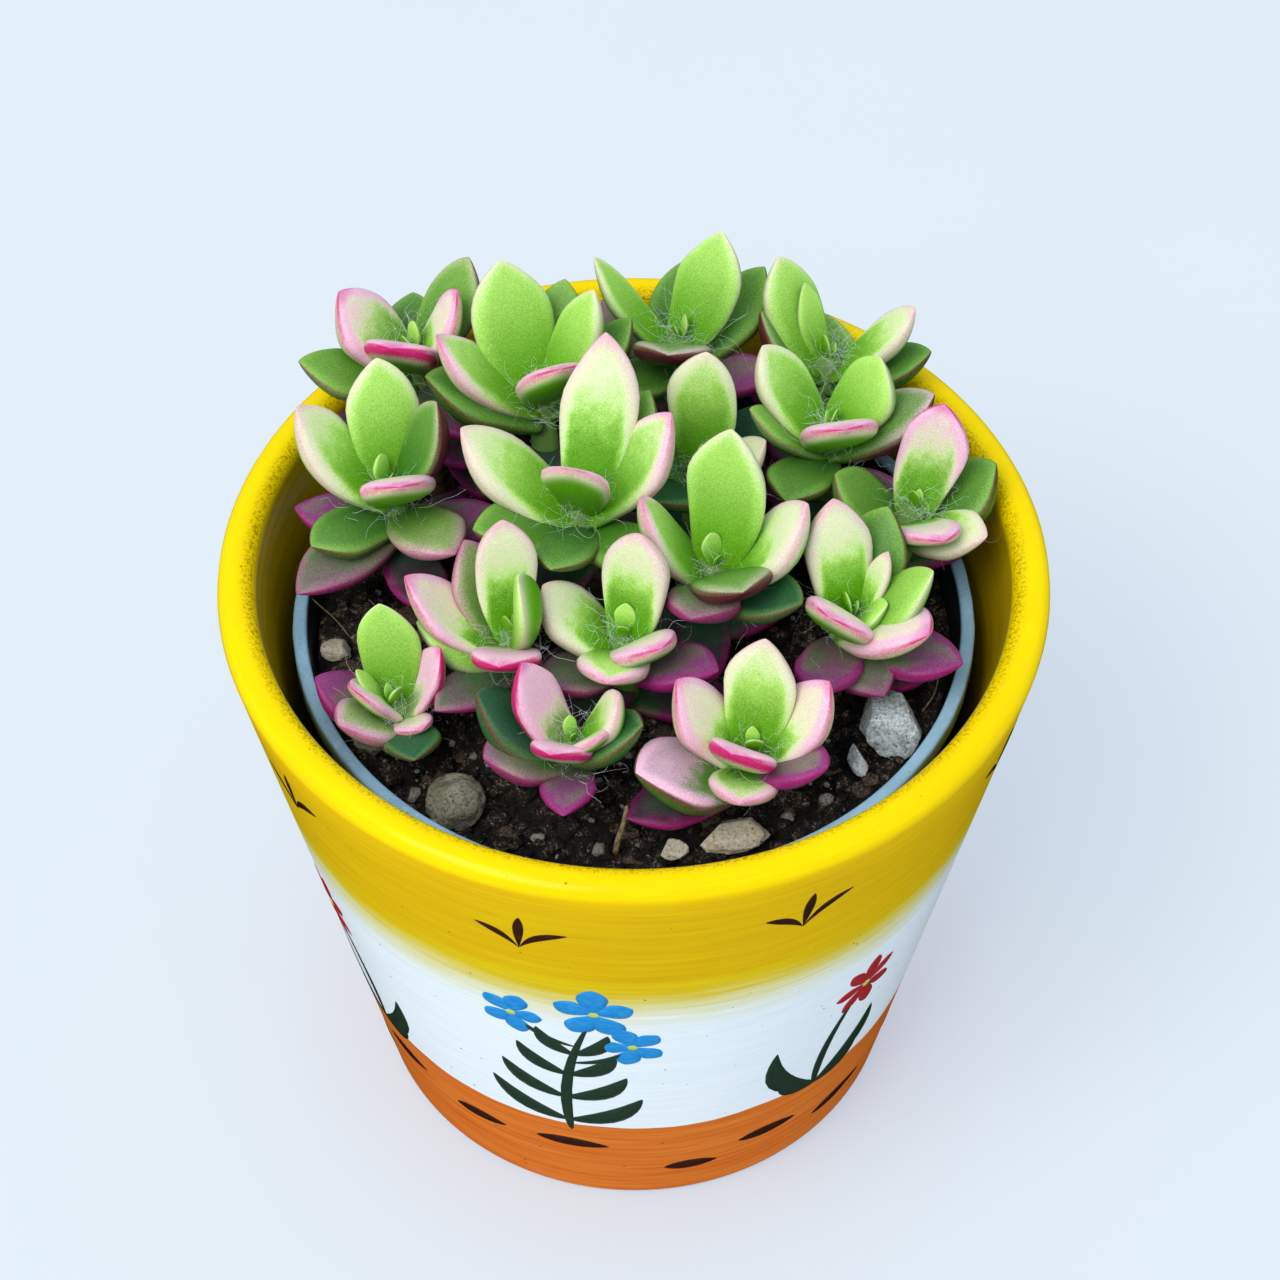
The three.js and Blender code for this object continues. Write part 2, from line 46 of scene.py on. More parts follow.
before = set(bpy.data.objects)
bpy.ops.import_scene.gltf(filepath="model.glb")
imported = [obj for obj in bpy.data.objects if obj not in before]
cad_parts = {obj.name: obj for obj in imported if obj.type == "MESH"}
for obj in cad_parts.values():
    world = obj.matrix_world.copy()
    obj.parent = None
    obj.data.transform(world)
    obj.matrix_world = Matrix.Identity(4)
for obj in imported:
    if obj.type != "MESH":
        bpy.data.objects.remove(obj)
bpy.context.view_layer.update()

MM = 0.001
# Where the random draws start: the leaves' own, and all the others
LEAF_SEED, SEED = 31, 11
# Two points closer than this are one
WELD = 1e-7


# Sizes and colours that a user would change


def size(name, millimetres, about):
    """A length, given in millimetres"""
    return FloatProperty(
        name=name, description=about, default=millimetres * MM, unit="LENGTH", precision=5
    )


def share(name, value, about):
    """A number from 0 to 1"""
    return FloatProperty(
        name=name, description=about, default=value, subtype="FACTOR", min=0, max=1
    )


def count(name, value, about):
    """A whole number"""
    return IntProperty(name=name, description=about, default=value, min=0)


def linear(red, green, blue):
    """A colour as a screen shows it, 0 to 255, in the linear values that light is worked out in"""
    parts = [part / 255 for part in (red, green, blue)]
    return tuple(p / 12.92 if p <= 0.04045 else ((p + 0.055) / 1.055) ** 2.4 for p in parts)


def colour(name, rgb, about):
    """A colour, given as a screen shows it"""
    return FloatVectorProperty(
        name=name, description=about, default=linear(*rgb), subtype="COLOR", size=3, min=0, max=1
    )


_, POT_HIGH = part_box("pot")
NURSERY_LOW, NURSERY_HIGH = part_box("nursery_pot")
SOIL_LOW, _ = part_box("soil")


class ClayPotSettings(bpy.types.PropertyGroup):
    """The painted clay pot"""

    height: size("Height", POT_HIGH.z / MM, "Foot to lip")
    rim_radius: size("Rim radius", POT_HIGH.x / MM, "Outside of the lip")
    foot_radius: size("Foot radius", 38, "Outside of the foot")
    wall: size("Wall", 5, "Thickness of the wall")
    floor: size("Floor", 6, "Thickness of the floor")
    lip_round: size("Lip round", 2.2, "Radius of the lip's two rounds")
    foot_round: size("Foot round", 1, "Radius of the foot's edge")
    drain_radius: size("Drain radius", 5, "The drain hole in the floor")
    yellow_foot: size("Yellow band foot", 55, "Where the yellow has faded out")
    yellow_top: size("Yellow band top", 69, "Where the yellow is full")
    ground_top: size("Ground band top", 23.5, "Top of the orange band round the foot")
    yellow: colour("Yellow", (238, 200, 0), "Paint of the upper band")
    # The lip's lighter yellow is a painted highlight on its top
    lip: colour("Lip", (250, 226, 2), "Paint on the lip")
    white: colour("White", (250, 254, 252), "Paint of the middle band")
    ground: colour("Ground", (244, 146, 58), "Paint of the band round the foot")
    clay: colour("Clay", (176, 98, 62), "Bare clay under the foot and in the pot's floor")


class PaintingSettings(bpy.types.PropertyGroup):
    """The flowers and strokes painted round the clay pot"""

    thickness: size("Paint thickness", 0.09, "How far a stroke stands off the wall")
    stem_green: colour("Dark green", (40, 62, 46), "Stems and leaves")
    bloom_blue: colour("Blue", (16, 140, 214), "Round flowers")
    star_red: colour("Red", (176, 26, 36), "Star flowers")
    heart_yellow: colour("Yellow green", (206, 214, 96), "Flower hearts")
    stroke_brown: colour("Brown", (58, 28, 18), "Fans and dashes")


class NurseryPotSettings(bpy.types.PropertyGroup):
    """The thin plastic pot inside"""

    rim_radius: size("Rim radius", NURSERY_HIGH.x / MM, "Outside of the rim")
    rim_top: size("Rim top", NURSERY_HIGH.z / MM, "Height of the rim")
    rim_width: size("Rim width", 1.9, "Width of the rolled rim")
    rim_depth: size("Rim depth", 3, "How far the rim hangs down")
    foot_radius: size("Foot radius", 31, "Outside of the foot")
    wall: size("Wall", 1, "Thickness of the wall")
    plastic: colour("Plastic", (160, 206, 230), "The grey blue plastic")


class SoilSettings(bpy.types.PropertyGroup):
    """The soil and what lies loose on it"""

    top: size("Top", 80, "Mean height of the soil")
    crumbs: count("Crumbs", 3600, "Dark crumbs on the soil")
    grit: count("Grit", 320, "Pale bits of grit on the soil")
    bark: count("Bark", 260, "Bits of bark and fibre on the soil")
    dark: colour("Dark earth", (13, 11, 11), "The darkest earth")
    brown: colour("Brown earth", (104, 84, 68), "The lightest earth")
    pale: colour("Grit", (165, 160, 148), "Pale grit")
    wood: colour("Twigs", (150, 132, 98), "Twigs and rootlets")


class StoneSettings(bpy.types.PropertyGroup):
    """The stones on the soil"""

    roughness: share("Roughness", 0.09, "Depth of the dents, as a share of the stone")
    grey: colour("Grey", (146, 144, 124), "Grey stones")
    pale: colour("Pale", (226, 236, 238), "The pale lumpy stone")
    white: colour("White", (224, 230, 230), "The white chip")
    beige: colour("Beige", (212, 202, 180), "Beige stones")


class LeafSettings(bpy.types.PropertyGroup):
    """The fleshy leaves"""

    root_width: share("Root width", 0.36, "Width at the root, as a share of the greatest")
    widest: share("Widest", 0.6, "Where a leaf is widest, along its length")
    rise: share("Rise", 0.13, "Height of the upper side, as a share of the width")
    depth: share("Depth", 0.3, "Depth of the under side, as a share of the width")
    arch: share("Arch", 0.06, "Bow of the leaf, as a share of its length")
    fresh: colour("Fresh green", (102, 168, 0), "Newest leaves")
    green: colour("Green", (90, 154, 8), "Young leaves")
    dark: colour("Dark green", (60, 118, 26), "Grown leaves")
    deep: colour("Deep green", (46, 92, 64), "Leaves in shade")
    mint: colour("Pale green", (182, 232, 106), "Where green thins towards a tip")
    cream: colour("Cream", (228, 234, 184), "Leaf parts without green")
    dusk: colour("Dusky rose", (190, 158, 172), "Dark leaves' parts without green")
    blossom: colour("Pale pink", (240, 188, 208), "Blushed cream")
    tip: colour("Pink tip", (216, 104, 164), "Tips of blushed leaves")
    magenta: colour("Magenta", (202, 26, 104), "Margins of the most blushed leaves")
    maroon: colour("Maroon", (84, 34, 40), "Under sides of dark leaves")
    wine: colour("Wine", (138, 68, 120), "Old leaves")
    stem: colour("Stem", (96, 92, 58), "Stems")


class HairSettings(bpy.types.PropertyGroup):
    """The fine hairs at each rosette's heart"""

    count: count("Hairs", 130, "Hairs in a rosette")
    thickness: size("Thickness", 0.036, "Thickness of a hair")
    length: size("Length", 5.5, "Mean length of a hair")
    white: colour("White", (222, 238, 230), "The hairs")


class StageSettings(bpy.types.PropertyGroup):
    """Floor, lights and camera"""

    floor: colour("Floor", (166, 172, 163), "The floor")
    floor_glow: colour("Floor glow", (154, 162, 180), "The floor's own faint light")
    sky: colour("Sky", (228, 238, 255), "Light from all round")
    sky_strength: FloatProperty(
        name="Sky strength", description="Strength of the light from all round", default=1.05
    )
    key_power: FloatProperty(
        name="Key power", description="The large soft lamp", default=37, subtype="POWER"
    )
    lens: FloatProperty(
        name="Lens", description="Focal length", default=90, subtype="DISTANCE_CAMERA"
    )
    distance: size("Camera distance", 427.3, "Camera to the point that it looks at")
    elevation: FloatProperty(
        name="Elevation",
        description="The camera's angle above the horizon",
        default=math.radians(49.5),
        subtype="ANGLE",
    )
    aim_x: size("Aim across", 0.8, "The point looked at, to the right of the middle")
    aim_z: size("Aim height", 78.46, "Height of the point looked at")


class SandRoseSettings(bpy.types.PropertyGroup):
    """All that the panel shows"""

    pot: PointerProperty(type=ClayPotSettings)
    painting: PointerProperty(type=PaintingSettings)
    nursery: PointerProperty(type=NurseryPotSettings)
    soil: PointerProperty(type=SoilSettings)
    stones: PointerProperty(type=StoneSettings)
    leaves: PointerProperty(type=LeafSettings)
    hairs: PointerProperty(type=HairSettings)
    stage: PointerProperty(type=StageSettings)


# Shader maths


class Value:
    """A shader socket that can be added, multiplied and so on, as a number can"""

    def __init__(self, finish, socket):
        self.finish = finish
        self.socket = socket

    def maths(self, operation, *values, clamp=False):
        """The result of a Math node, kept between 0 and 1 if it is clamped"""
        settings = {"operation": operation, "use_clamp": clamp}
        return self.finish.add("ShaderNodeMath", settings, dict(enumerate(values)))

    def __add__(self, other):
        return self.maths("ADD", self, other)

    def __radd__(self, other):
        return self.maths("ADD", other, self)

    def __sub__(self, other):
        return self.maths("SUBTRACT", self, other)

    def __rsub__(self, other):
        return self.maths("SUBTRACT", other, self)

    def __mul__(self, other):
        return self.maths("MULTIPLY", self, other)

    def __rmul__(self, other):
        return self.maths("MULTIPLY", other, self)

    def __pow__(self, other):
        return self.maths("POWER", self, other)

    def __abs__(self):
        return self.maths("ABSOLUTE", self)

    def capped(self):
        """The value kept between 0 and 1"""
        return self.maths("ADD", self, 0, clamp=True)

    def ramp(self, low, high):
        """0 below low, 1 above high and smooth between, or the other way round"""
        settings = {"interpolation_type": "SMOOTHSTEP"}
        sockets = {"Value": self, "From Min": min(low, high), "From Max": max(low, high)}
        if low > high:
            sockets.update({"To Min": 1, "To Max": 0})
        return self.finish.add("ShaderNodeMapRange", settings, sockets)


class Finish:
    """A procedural material while its nodes are being joined up"""

    def __init__(self, name, roughness=0.5, **constants):
        self.material = bpy.data.materials.new(name)
        self.material.use_nodes = True
        self.nodes = self.material.node_tree.nodes
        self.links = self.material.node_tree.links
        self.shader = self.nodes["Principled BSDF"]
        self.feed(self.shader.inputs["Roughness"], roughness)
        for socket, value in constants.items():
            self.feed(self.shader.inputs[socket.replace("_", " ")], value)

    def feed(self, socket, value):
        """Joins a value to a node's socket, or sets the socket to a number or a colour"""
        if isinstance(value, Value):
            self.links.new(value.socket, socket)
        elif socket.type == "RGBA":
            socket.default_value = (*value[:3], 1)
        else:
            socket.default_value = value

    def add(self, kind, settings=None, sockets=None, out=0):
        """A new node's output, after its settings are made and its sockets fed"""
        node = self.nodes.new(kind)
        for name, value in (settings or {}).items():
            if name == "stops":
                self.set_stops(node.color_ramp, value)
            else:
                setattr(node, name, value)
        for key, value in (sockets or {}).items():
            self.feed(node.inputs[key], value)
        return Value(self, node.outputs[out])

    @staticmethod
    def set_stops(ramp, stops):
        """Gives a colour ramp its row of places and colours"""
        while len(ramp.elements) < len(stops):
            ramp.elements.new(1)
        for element, (place, rgb) in zip(ramp.elements, stops):
            element.position = place
            element.color = (*rgb[:3], 1)

    def stops(self, value, stops):
        """A colour picked from a row of colours"""
        return self.add("ShaderNodeValToRGB", {"stops": stops}, {0: value})

    def blend(self, part, first, second, how="MIX"):
        """The first colour at 0, and the second, or the two worked together, at 1"""
        settings = {"data_type": "RGBA", "blend_type": how}
        return self.add("ShaderNodeMix", settings, {0: part, 6: first, 7: second}, out=2)

    def place(self):
        """Where a point is in the object's own frame"""
        return self.add("ShaderNodeTexCoord", out="Object")

    def split(self, vector):
        """A vector's three parts"""
        node = self.add("ShaderNodeSeparateXYZ", sockets={0: vector}).socket.node
        return [Value(self, socket) for socket in node.outputs]

    def attribute(self, name):
        """The three parts of what the mesh says of each point"""
        return self.split(self.add("ShaderNodeAttribute", {"attribute_name": name}, out="Vector"))

    def stretched(self, vector, scale):
        """A vector scaled along each axis"""
        return self.add(
            "ShaderNodeVectorMath", {"operation": "MULTIPLY"}, {0: vector, 1: scale}
        )

    def cloud(self, vector, grain, detail, rough=0.5):
        """Soft noise around 0.5, with lumps of about this size in metres"""
        sockets = {"Vector": vector, "Scale": 1 / grain, "Detail": detail, "Roughness": rough}
        return self.add("ShaderNodeTexNoise", None, sockets)

    def cells(self, vector, grain):
        """Distance to the nearest of many scattered points"""
        sockets = {"Vector": vector, "Scale": 1 / grain}
        return self.add("ShaderNodeTexVoronoi", None, sockets, out="Distance")

    def bump(self, height, depth, strength):
        """Fine relief of a height from 0 to 1 times the depth"""
        sockets = {"Height": height, "Distance": depth, "Strength": strength}
        normal = self.add("ShaderNodeBump", None, sockets)
        self.feed(self.shader.inputs["Normal"], normal)

    def paint(self, colour_value, roughness=None):
        """Feeds the colour, and the roughness if it varies, and hands over the material"""
        self.feed(self.shader.inputs["Base Color"], colour_value)
        if roughness is not None:
            self.feed(self.shader.inputs["Roughness"], roughness)
        return self.material


def off_axis(x, y):
    """How far a point is from the upright axis, from its two level parts"""
    return (x * x + y * y) ** 0.5


# Shaping


def finished(name, bm, materials, replaced=(), smooth=True):
    """The mesh as a new piece, which sits at the origin and rides on the root body"""
    mesh = bpy.data.meshes.new(name)
    bm.to_mesh(mesh)
    bm.free()
    mesh.polygons.foreach_set("use_smooth", [smooth] * len(mesh.polygons))
    piece = bpy.data.objects.new(name, mesh)
    bpy.context.scene.collection.objects.link(piece)
    for material in materials:
        mesh.materials.append(material)
    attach(piece, "root")
    if replaced:
        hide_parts(*replaced)


def rounded(centre_radius, centre_height, radius, start, end, steps=5):
    """Points of a round, as [radius, height], from one angle to another in degrees"""
    angles = [math.radians(start + (end - start) * i / steps) for i in range(steps + 1)]
    return [
        (centre_radius + radius * math.cos(a), centre_height + radius * math.sin(a)) for a in angles
    ]


def straight(start, end, steps):
    """The points between two profile points, without the two"""
    (r0, z0), (r1, z1) = start, end
    return [(r0 + (r1 - r0) * i / steps, z0 + (z1 - z0) * i / steps) for i in range(1, steps)]


def turned(bm, profile, steps, closed=True):
    """A ring or an open row of profile points spun round Z"""
    points = [bm.verts.new((radius, 0, height)) for radius, height in profile]
    nexts = points[1:] + points[:1] if closed else points[1:]
    edges = [bm.edges.new(pair) for pair in zip(points, nexts)]
    bmesh.ops.spin(
        bm, geom=points + edges, cent=(0, 0, 0), axis=(0, 0, 1), angle=2 * math.pi,
        steps=steps, use_merge=True,
    )
    bmesh.ops.remove_doubles(bm, verts=bm.verts, dist=WELD)
    bmesh.ops.recalc_face_normals(bm, faces=bm.faces)


def add_part(bm, part):
    """Puts a small finished mesh into a larger one"""
    mesh = bpy.data.meshes.new("part")
    part.to_mesh(mesh)
    part.free()
    bm.from_mesh(mesh)
    bpy.data.meshes.remove(mesh)


def blob(bm, around, rings, place, tags=()):
    """A closed round form. `place` gives each point's position from how far along the form it
    lies, 0 to 1, and the cosine and sine of its turn round it, both 0 at the two ends. The
    mesh keeps these three numbers at each point, with the form's own tags."""
    part = bmesh.new()
    layers = part.verts.layers.float_vector
    spot = layers.new("spot")
    marks = [(layers.new(name), value) for name, value in tags]
    bmesh.ops.create_uvsphere(part, u_segments=around, v_segments=rings, radius=1)
    bmesh.ops.recalc_face_normals(part, faces=part.faces)
    for vertex in part.verts:
        x, y, z = vertex.co
        reach = math.hypot(x, y)
        across, rise = (x / reach, y / reach) if reach > WELD else (0, 0)
        vertex[spot] = ((1 + z) / 2, across, rise)
        for layer, value in marks:
            vertex[layer] = value
        vertex.co = place((1 + z) / 2, across, rise)
    add_part(bm, part)


def turned_to(direction):
    """The rotation that brings +Z to a direction"""
    return Vector((0, 0, 1)).rotation_difference(Vector(direction)).to_matrix().to_4x4()


# Clay pot

# Rows of faces up its wall, and faces round it
POT_ROWS = 16
POT_SIDES = 144
# Heights between which the yellow pales, the painted shade inside deepens, and bare clay shows
# at the foot and on the floor
YELLOW_PALES = (74 * MM, 60 * MM)
INSIDE_SHADE_HEIGHTS = (86 * MM, 60 * MM)
FOOT_BARES = (0.9 * MM, 0.2 * MM)
FLOOR_BARES = (20 * MM, 12 * MM)
# Depths below the top between which the lip's lighter yellow, a painted highlight on its top,
# comes in, and its worn crest
LIT_LIP_DEPTHS = (2.7 * MM, 1 * MM)
CREST_DEPTHS = (2 * MM, 0.8 * MM)
# Depths in from the outside, as shares of the wall, where the inside's painted shade and the
# wear start
INSIDE_DEPTHS = (0.45, 0.6)
WORN_DEPTHS = (0.5, 0.85)
# How far the brush drags the yellow's lower edge, and how far that edge wanders
BRUSH_DRAG = 9 * MM
BAND_WANDER = 3 * MM


def pot_radius(pot, height):
    """The outside radius of the clay pot at a height, between its foot's and its lip's round"""
    straight_part = pot.height - pot.lip_round - pot.foot_round
    part = (height - pot.foot_round) / straight_part
    return pot.foot_radius + (pot.rim_radius - pot.foot_radius) * part


def pot_profile(pot):
    """The clay pot's section, from the drain hole out, up, over the lip and down again"""
    lip = pot.height - pot.lip_round
    foot = rounded(pot.foot_radius - pot.foot_round, pot.foot_round, pot.foot_round, -90, 0)
    outer = rounded(pot.rim_radius - pot.lip_round, lip, pot.lip_round, 0, 90)
    inner = rounded(pot.rim_radius - pot.wall + pot.lip_round, lip, pot.lip_round, 90, 180)
    corner = (pot_radius(pot, pot.floor) - pot.wall, pot.floor + pot.foot_round)
    toe = (corner[0] - pot.foot_round, pot.floor)
    return [
        (pot.drain_radius, 0),
        *foot, *straight(foot[-1], outer[0], POT_ROWS), *outer,
        *inner, *straight(inner[-1], corner, POT_ROWS), corner, toe,
        (pot.drain_radius, pot.floor),
    ]


def glazed_paint(pot):
    """Brushed paint under varnish: yellow above, faded to white, an orange band below, painted
    shade inside and a painted highlight on the lip
    """
    finish = Finish("glazed_paint", Specular_IOR_Level=0.04, Coat_Weight=0.2, Coat_Roughness=0.1)
    place = finish.place()
    x, y, z = finish.split(place)
    streak = finish.cloud(finish.stretched(place, (0.11, 0.11, 2.4)), 2.2 * MM, 4, 0.6)
    fine = finish.cloud(finish.stretched(place, (0.05, 0.05, 2.4)), 0.7 * MM, 3, 0.6)
    patch = finish.cloud(place, 14 * MM, 2)
    brushed = (streak - 0.5) * 0.7 + (fine - 0.5) * 0.5

    def streaked(contrast, share_of_second, first, second):
        """Two tones of a paint, parted by the brush"""
        return finish.blend((brushed * contrast + share_of_second).capped(), first, second)

    wavering = z + brushed * BRUSH_DRAG + (patch - 0.5) * BAND_WANDER
    yellow = streaked(1.7, 0.45, pot.yellow, linear(218, 164, 0))
    faded_yellow = linear(226, 212, 24)
    fading = finish.blend(wavering.ramp(*YELLOW_PALES), yellow, faded_yellow)
    white = streaked(1.4, 0.4, pot.white, linear(224, 236, 240))
    base = finish.blend(wavering.ramp(pot.yellow_foot, pot.yellow_top), white, fading)

    edge = z + (finish.cloud(place, 9 * MM, 1) - 0.5) * (1.5 * MM)
    band = streaked(1.8, 0.55, pot.ground, linear(206, 88, 16))
    base = finish.blend(edge.ramp(pot.ground_top, pot.ground_top + 0.25 * MM), band, base)

    # The inside is painted darker as painted shade, darkest lower down, and the lip's crest is worn
    outside = pot.foot_radius + (z * ((pot.rim_radius - pot.foot_radius) / pot.height))
    inward = outside - off_axis(x, y)
    inner = inward.ramp(*(pot.wall * part for part in INSIDE_DEPTHS))
    # Painted shade: the inside's yellows are darker, streaked by the brush, and darkest lower down
    shaded_inside_yellow = streaked(1.6, 0.5, linear(212, 176, 0), linear(156, 124, 0))
    deepest_inside_shade = linear(118, 94, 12)
    base = finish.blend(inner, base, finish.blend(z.ramp(*INSIDE_SHADE_HEIGHTS), shaded_inside_yellow, deepest_inside_shade))
    # Painted highlight: the lip's top is a lighter yellow
    lip = z.ramp(*(pot.height - depth for depth in LIT_LIP_DEPTHS))
    base = finish.blend(lip, base, streaked(1, 0.4, pot.lip, linear(238, 186, 0)))
    crest = z.ramp(*(pot.height - depth for depth in CREST_DEPTHS))
    worn = inward.ramp(*(pot.wall * part for part in WORN_DEPTHS)) * crest
    dotted = finish.cloud(place, 0.4 * MM, 3, 0.7).ramp(0.45, 0.65)
    worn_brown = linear(122, 90, 2)
    base = finish.blend(worn * (0.1 + dotted * 0.7), base, worn_brown)

    bare = (z.ramp(*FOOT_BARES) + inner * z.ramp(*FLOOR_BARES)).capped()
    base = finish.blend(bare, base, pot.clay)
    speckled = finish.cloud(place, 6 * MM, 2).ramp(0.5, 0.6)
    specks = finish.cells(place, 2.6 * MM).ramp(0.085, 0.05) * speckled
    speck_brown = linear(58, 40, 16)
    base = finish.blend(specks * 0.8, base, speck_brown)

    finish.bump(streak * 0.6 + fine * 0.4, 0.12 * MM, 0.45)
    return finish.paint(base, bare * 0.45 + 0.27 + fine * 0.12)


class SANDROSE_OT_clay_pot(bpy.types.Operator):
    """Build the painted clay pot"""

    bl_idname = "sand_rose.clay_pot"
    bl_label = "Clay Pot"

    def execute(self, context):
        pot = context.scene.sand_rose.pot
        bm = bmesh.new()
        turned(bm, pot_profile(pot), POT_SIDES)
        finished("clay_pot", bm, [glazed_paint(pot)], ["pot"])
        return {"FINISHED"}


# Painting on the pot

# The turn of each motif round the pot in degrees, and the side that it leans to
SPRIGS = [(258, 1), (18, -1), (138, 1)]
STARS = [(307, 1), (212, -1), (72, 1), (176, -1)]
# The motifs are given in millimetres, as [across, up]. A sprig's foot, top and bow:
SPRIG_FOOT = (0, 21.5)
SPRIG_TOP = (5, 60)
SPRIG_BOW = 0.05
# How far up a sprig its paired leaves grow, as shares of its length
SPRIG_LEAVES = (0.1, 0.3, 0.5, 0.68)
# A sprig's side blooms: which way, how far up the sprig they branch off, and how far they rise
SIDE_BLOOMS = [(1, 0.6, 6.5), (-1, 0.74, 7)]
# A star flower's foot, top and bow, and its leaves as which way, how wide and how high
STAR_FOOT = (0, 22)
STAR_TOP = (4.2, 48)
STAR_BOW = 0.07
STAR_LEAVES = [(-1, 9, 40), (1, 8, 37), (-1, 6.5, 30), (1, 7.0, 28.5)]
# A fan's height, and how far its three strokes lean and rise
FAN_HEIGHT = 79
FAN_STROKES = [(-5.5, 4.5), (0.6, 8.5), (6.5, 5.5)]
# The turns in degrees from one fan to the next, and from one dash to the next
FAN_STEP = 40
DASH_STEP = 20
# How much taller than wide a bloom is, and how much thicker its petals and its heart are laid
BLOOM_TALL = 1.35
PETAL_LIFT = 1.3
HEART_LIFT = 1.9
# Faces round a stroke and along it
DAUB_SIDES = 10
DAUB_ROWS = 12


def bowed(start, end, bow, along):
    """A point of a line that bows sideways by a share of its length"""
    x, z = end[0] - start[0], end[1] - start[1]
    aside = bow * 4 * along * (1 - along)
    return start[0] + x * along - z * aside, start[1] + z * along + x * aside


class Brush:
    """A brush that lays raised strokes on the clay pot's wall, beside the wall's line at a turn"""

    def __init__(self, pot, lift, turn):
        self.pot = pot
        self.lift = lift
        self.turn = turn

    def daub(self, bm, start, end, width, widest=0.5, bow=0.0, lift=1):
        """A stroke that is widest at a share of its length, bows, and is laid on more or less"""
        (x0, z0), (x1, z1) = start, end
        length = math.hypot(x1 - x0, z1 - z0)
        ahead = ((x1 - x0) / length, (z1 - z0) / length)
        lean = math.log(0.5) / math.log(widest)
        thickness = self.lift * lift

        def place(along, across, rise):
            half = width / 2 * math.sin(math.pi * along**lean) ** 0.7 if 0 < along < 1 else 0
            aside = across * half + bow * length * 4 * along * (1 - along)
            x = (x0 + ahead[0] * length * along - ahead[1] * aside) * MM
            z = (z0 + ahead[1] * length * along + ahead[0] * aside) * MM
            # A daub is thick at its middle and sinks into the wall at its rim
            thick = rise * math.sin(math.pi * along) ** 0.4 if 0 < along < 1 else 0
            radius = pot_radius(self.pot, z)
            reach = radius + thickness * thick
            angle = math.radians(self.turn) + x / radius
            return Vector((reach * math.cos(angle), reach * math.sin(angle), z))

        blob(bm, DAUB_SIDES, DAUB_ROWS, place)

    def flower(self, petals, hearts, middle, number, reach, width, tilt):
        """Petals round a middle point, with a small heart"""
        for i in range(number):
            angle = math.radians(tilt + 360 * i / number)
            up = BLOOM_TALL * reach * math.sin(angle)
            tip = (middle[0] + reach * math.cos(angle), middle[1] + up)
            self.daub(petals, middle, tip, width, 0.62, lift=PETAL_LIFT)
        left, right = (middle[0] - 0.8, middle[1]), (middle[0] + 0.8, middle[1])
        self.daub(hearts, left, right, 1.7, lift=HEART_LIFT)

    def sprig(self, side, stems, blooms, hearts):
        """A bowed stem with paired leaves, and three blue flowers on it"""
        top, bow = (side * SPRIG_TOP[0], SPRIG_TOP[1]), SPRIG_BOW * side
        self.daub(stems, SPRIG_FOOT, top, 1.7, 0.3, bow)
        for i, along in enumerate(SPRIG_LEAVES):
            x, z = bowed(SPRIG_FOOT, top, bow, along)
            reach = 10.5 - 1.9 * i
            for way in (1, -1):
                tip = (x + way * reach, z + 8.5 - 0.6 * i)
                self.daub(stems, (x, z - 0.5), tip, 4.0 - 0.4 * i, 0.45, -0.13 * way)
        self.flower(blooms, hearts, (top[0], top[1] + 1), 5, 5.4, 4.4, 90)
        for way, along, rise in SIDE_BLOOMS:
            stalk = bowed(SPRIG_FOOT, top, bow, along)
            middle = (stalk[0] + way * 8.5, stalk[1] + rise)
            self.daub(stems, stalk, middle, 1.2, 0.4, -0.12 * way)
            self.flower(blooms, hearts, middle, 5, 4.3, 3.6, 90 + 20 * way)

    def star_flower(self, side, stems, stars, hearts):
        """A leaning stem with long leaves under a red star"""
        top = (side * STAR_TOP[0], STAR_TOP[1])
        self.daub(stems, STAR_FOOT, top, 1.7, 0.3, STAR_BOW * side)
        for way, reach, high in STAR_LEAVES:
            self.daub(stems, STAR_FOOT, (way * reach, high), 3.8, 0.45, -0.14 * way)
        self.flower(stars, hearts, top, 7, 5.2, 2.7, 80)


def fans_and_dashes(strokes, pot, lift, chance):
    """Fans of three bent strokes high in the yellow, and dashes in the orange"""
    for turn in range(14, 374, FAN_STEP):
        up = FAN_HEIGHT + chance.uniform(-2, 2)
        brush = Brush(pot, lift, turn)
        for lean, rise in FAN_STROKES:
            brush.daub(strokes, (0, up), (lean, up + rise), 1.5, 0.62, 0.02 * lean)
    for turn in range(0, 360, DASH_STEP):
        lean, up = chance.uniform(-1, 2.4), chance.uniform(8, 17)
        reach = chance.uniform(7.5, 11.5)
        start, end = (-reach / 2, up - lean / 2), (reach / 2, up + lean / 2)
        Brush(pot, lift, turn + chance.uniform(-3, 3)).daub(strokes, start, end, 3.0, 0.45, 0.03)


def brush_paint(name, rgb, lighter):
    """Opaque brush paint, with a little of the brush's grain, under the varnish"""
    finish = Finish(name, Specular_IOR_Level=0.2, Coat_Weight=0.22, Coat_Roughness=0.1)
    place = finish.place()
    grain = finish.cloud(finish.stretched(place, (0.5, 0.5, 1.6)), 0.6 * MM, 3, 0.6)
    base = finish.blend(grain.ramp(0.35, 0.75) * 0.55, rgb, lighter)
    finish.bump(grain, 0.05 * MM, 0.5)
    return finish.paint(base, grain * 0.2 + 0.28)


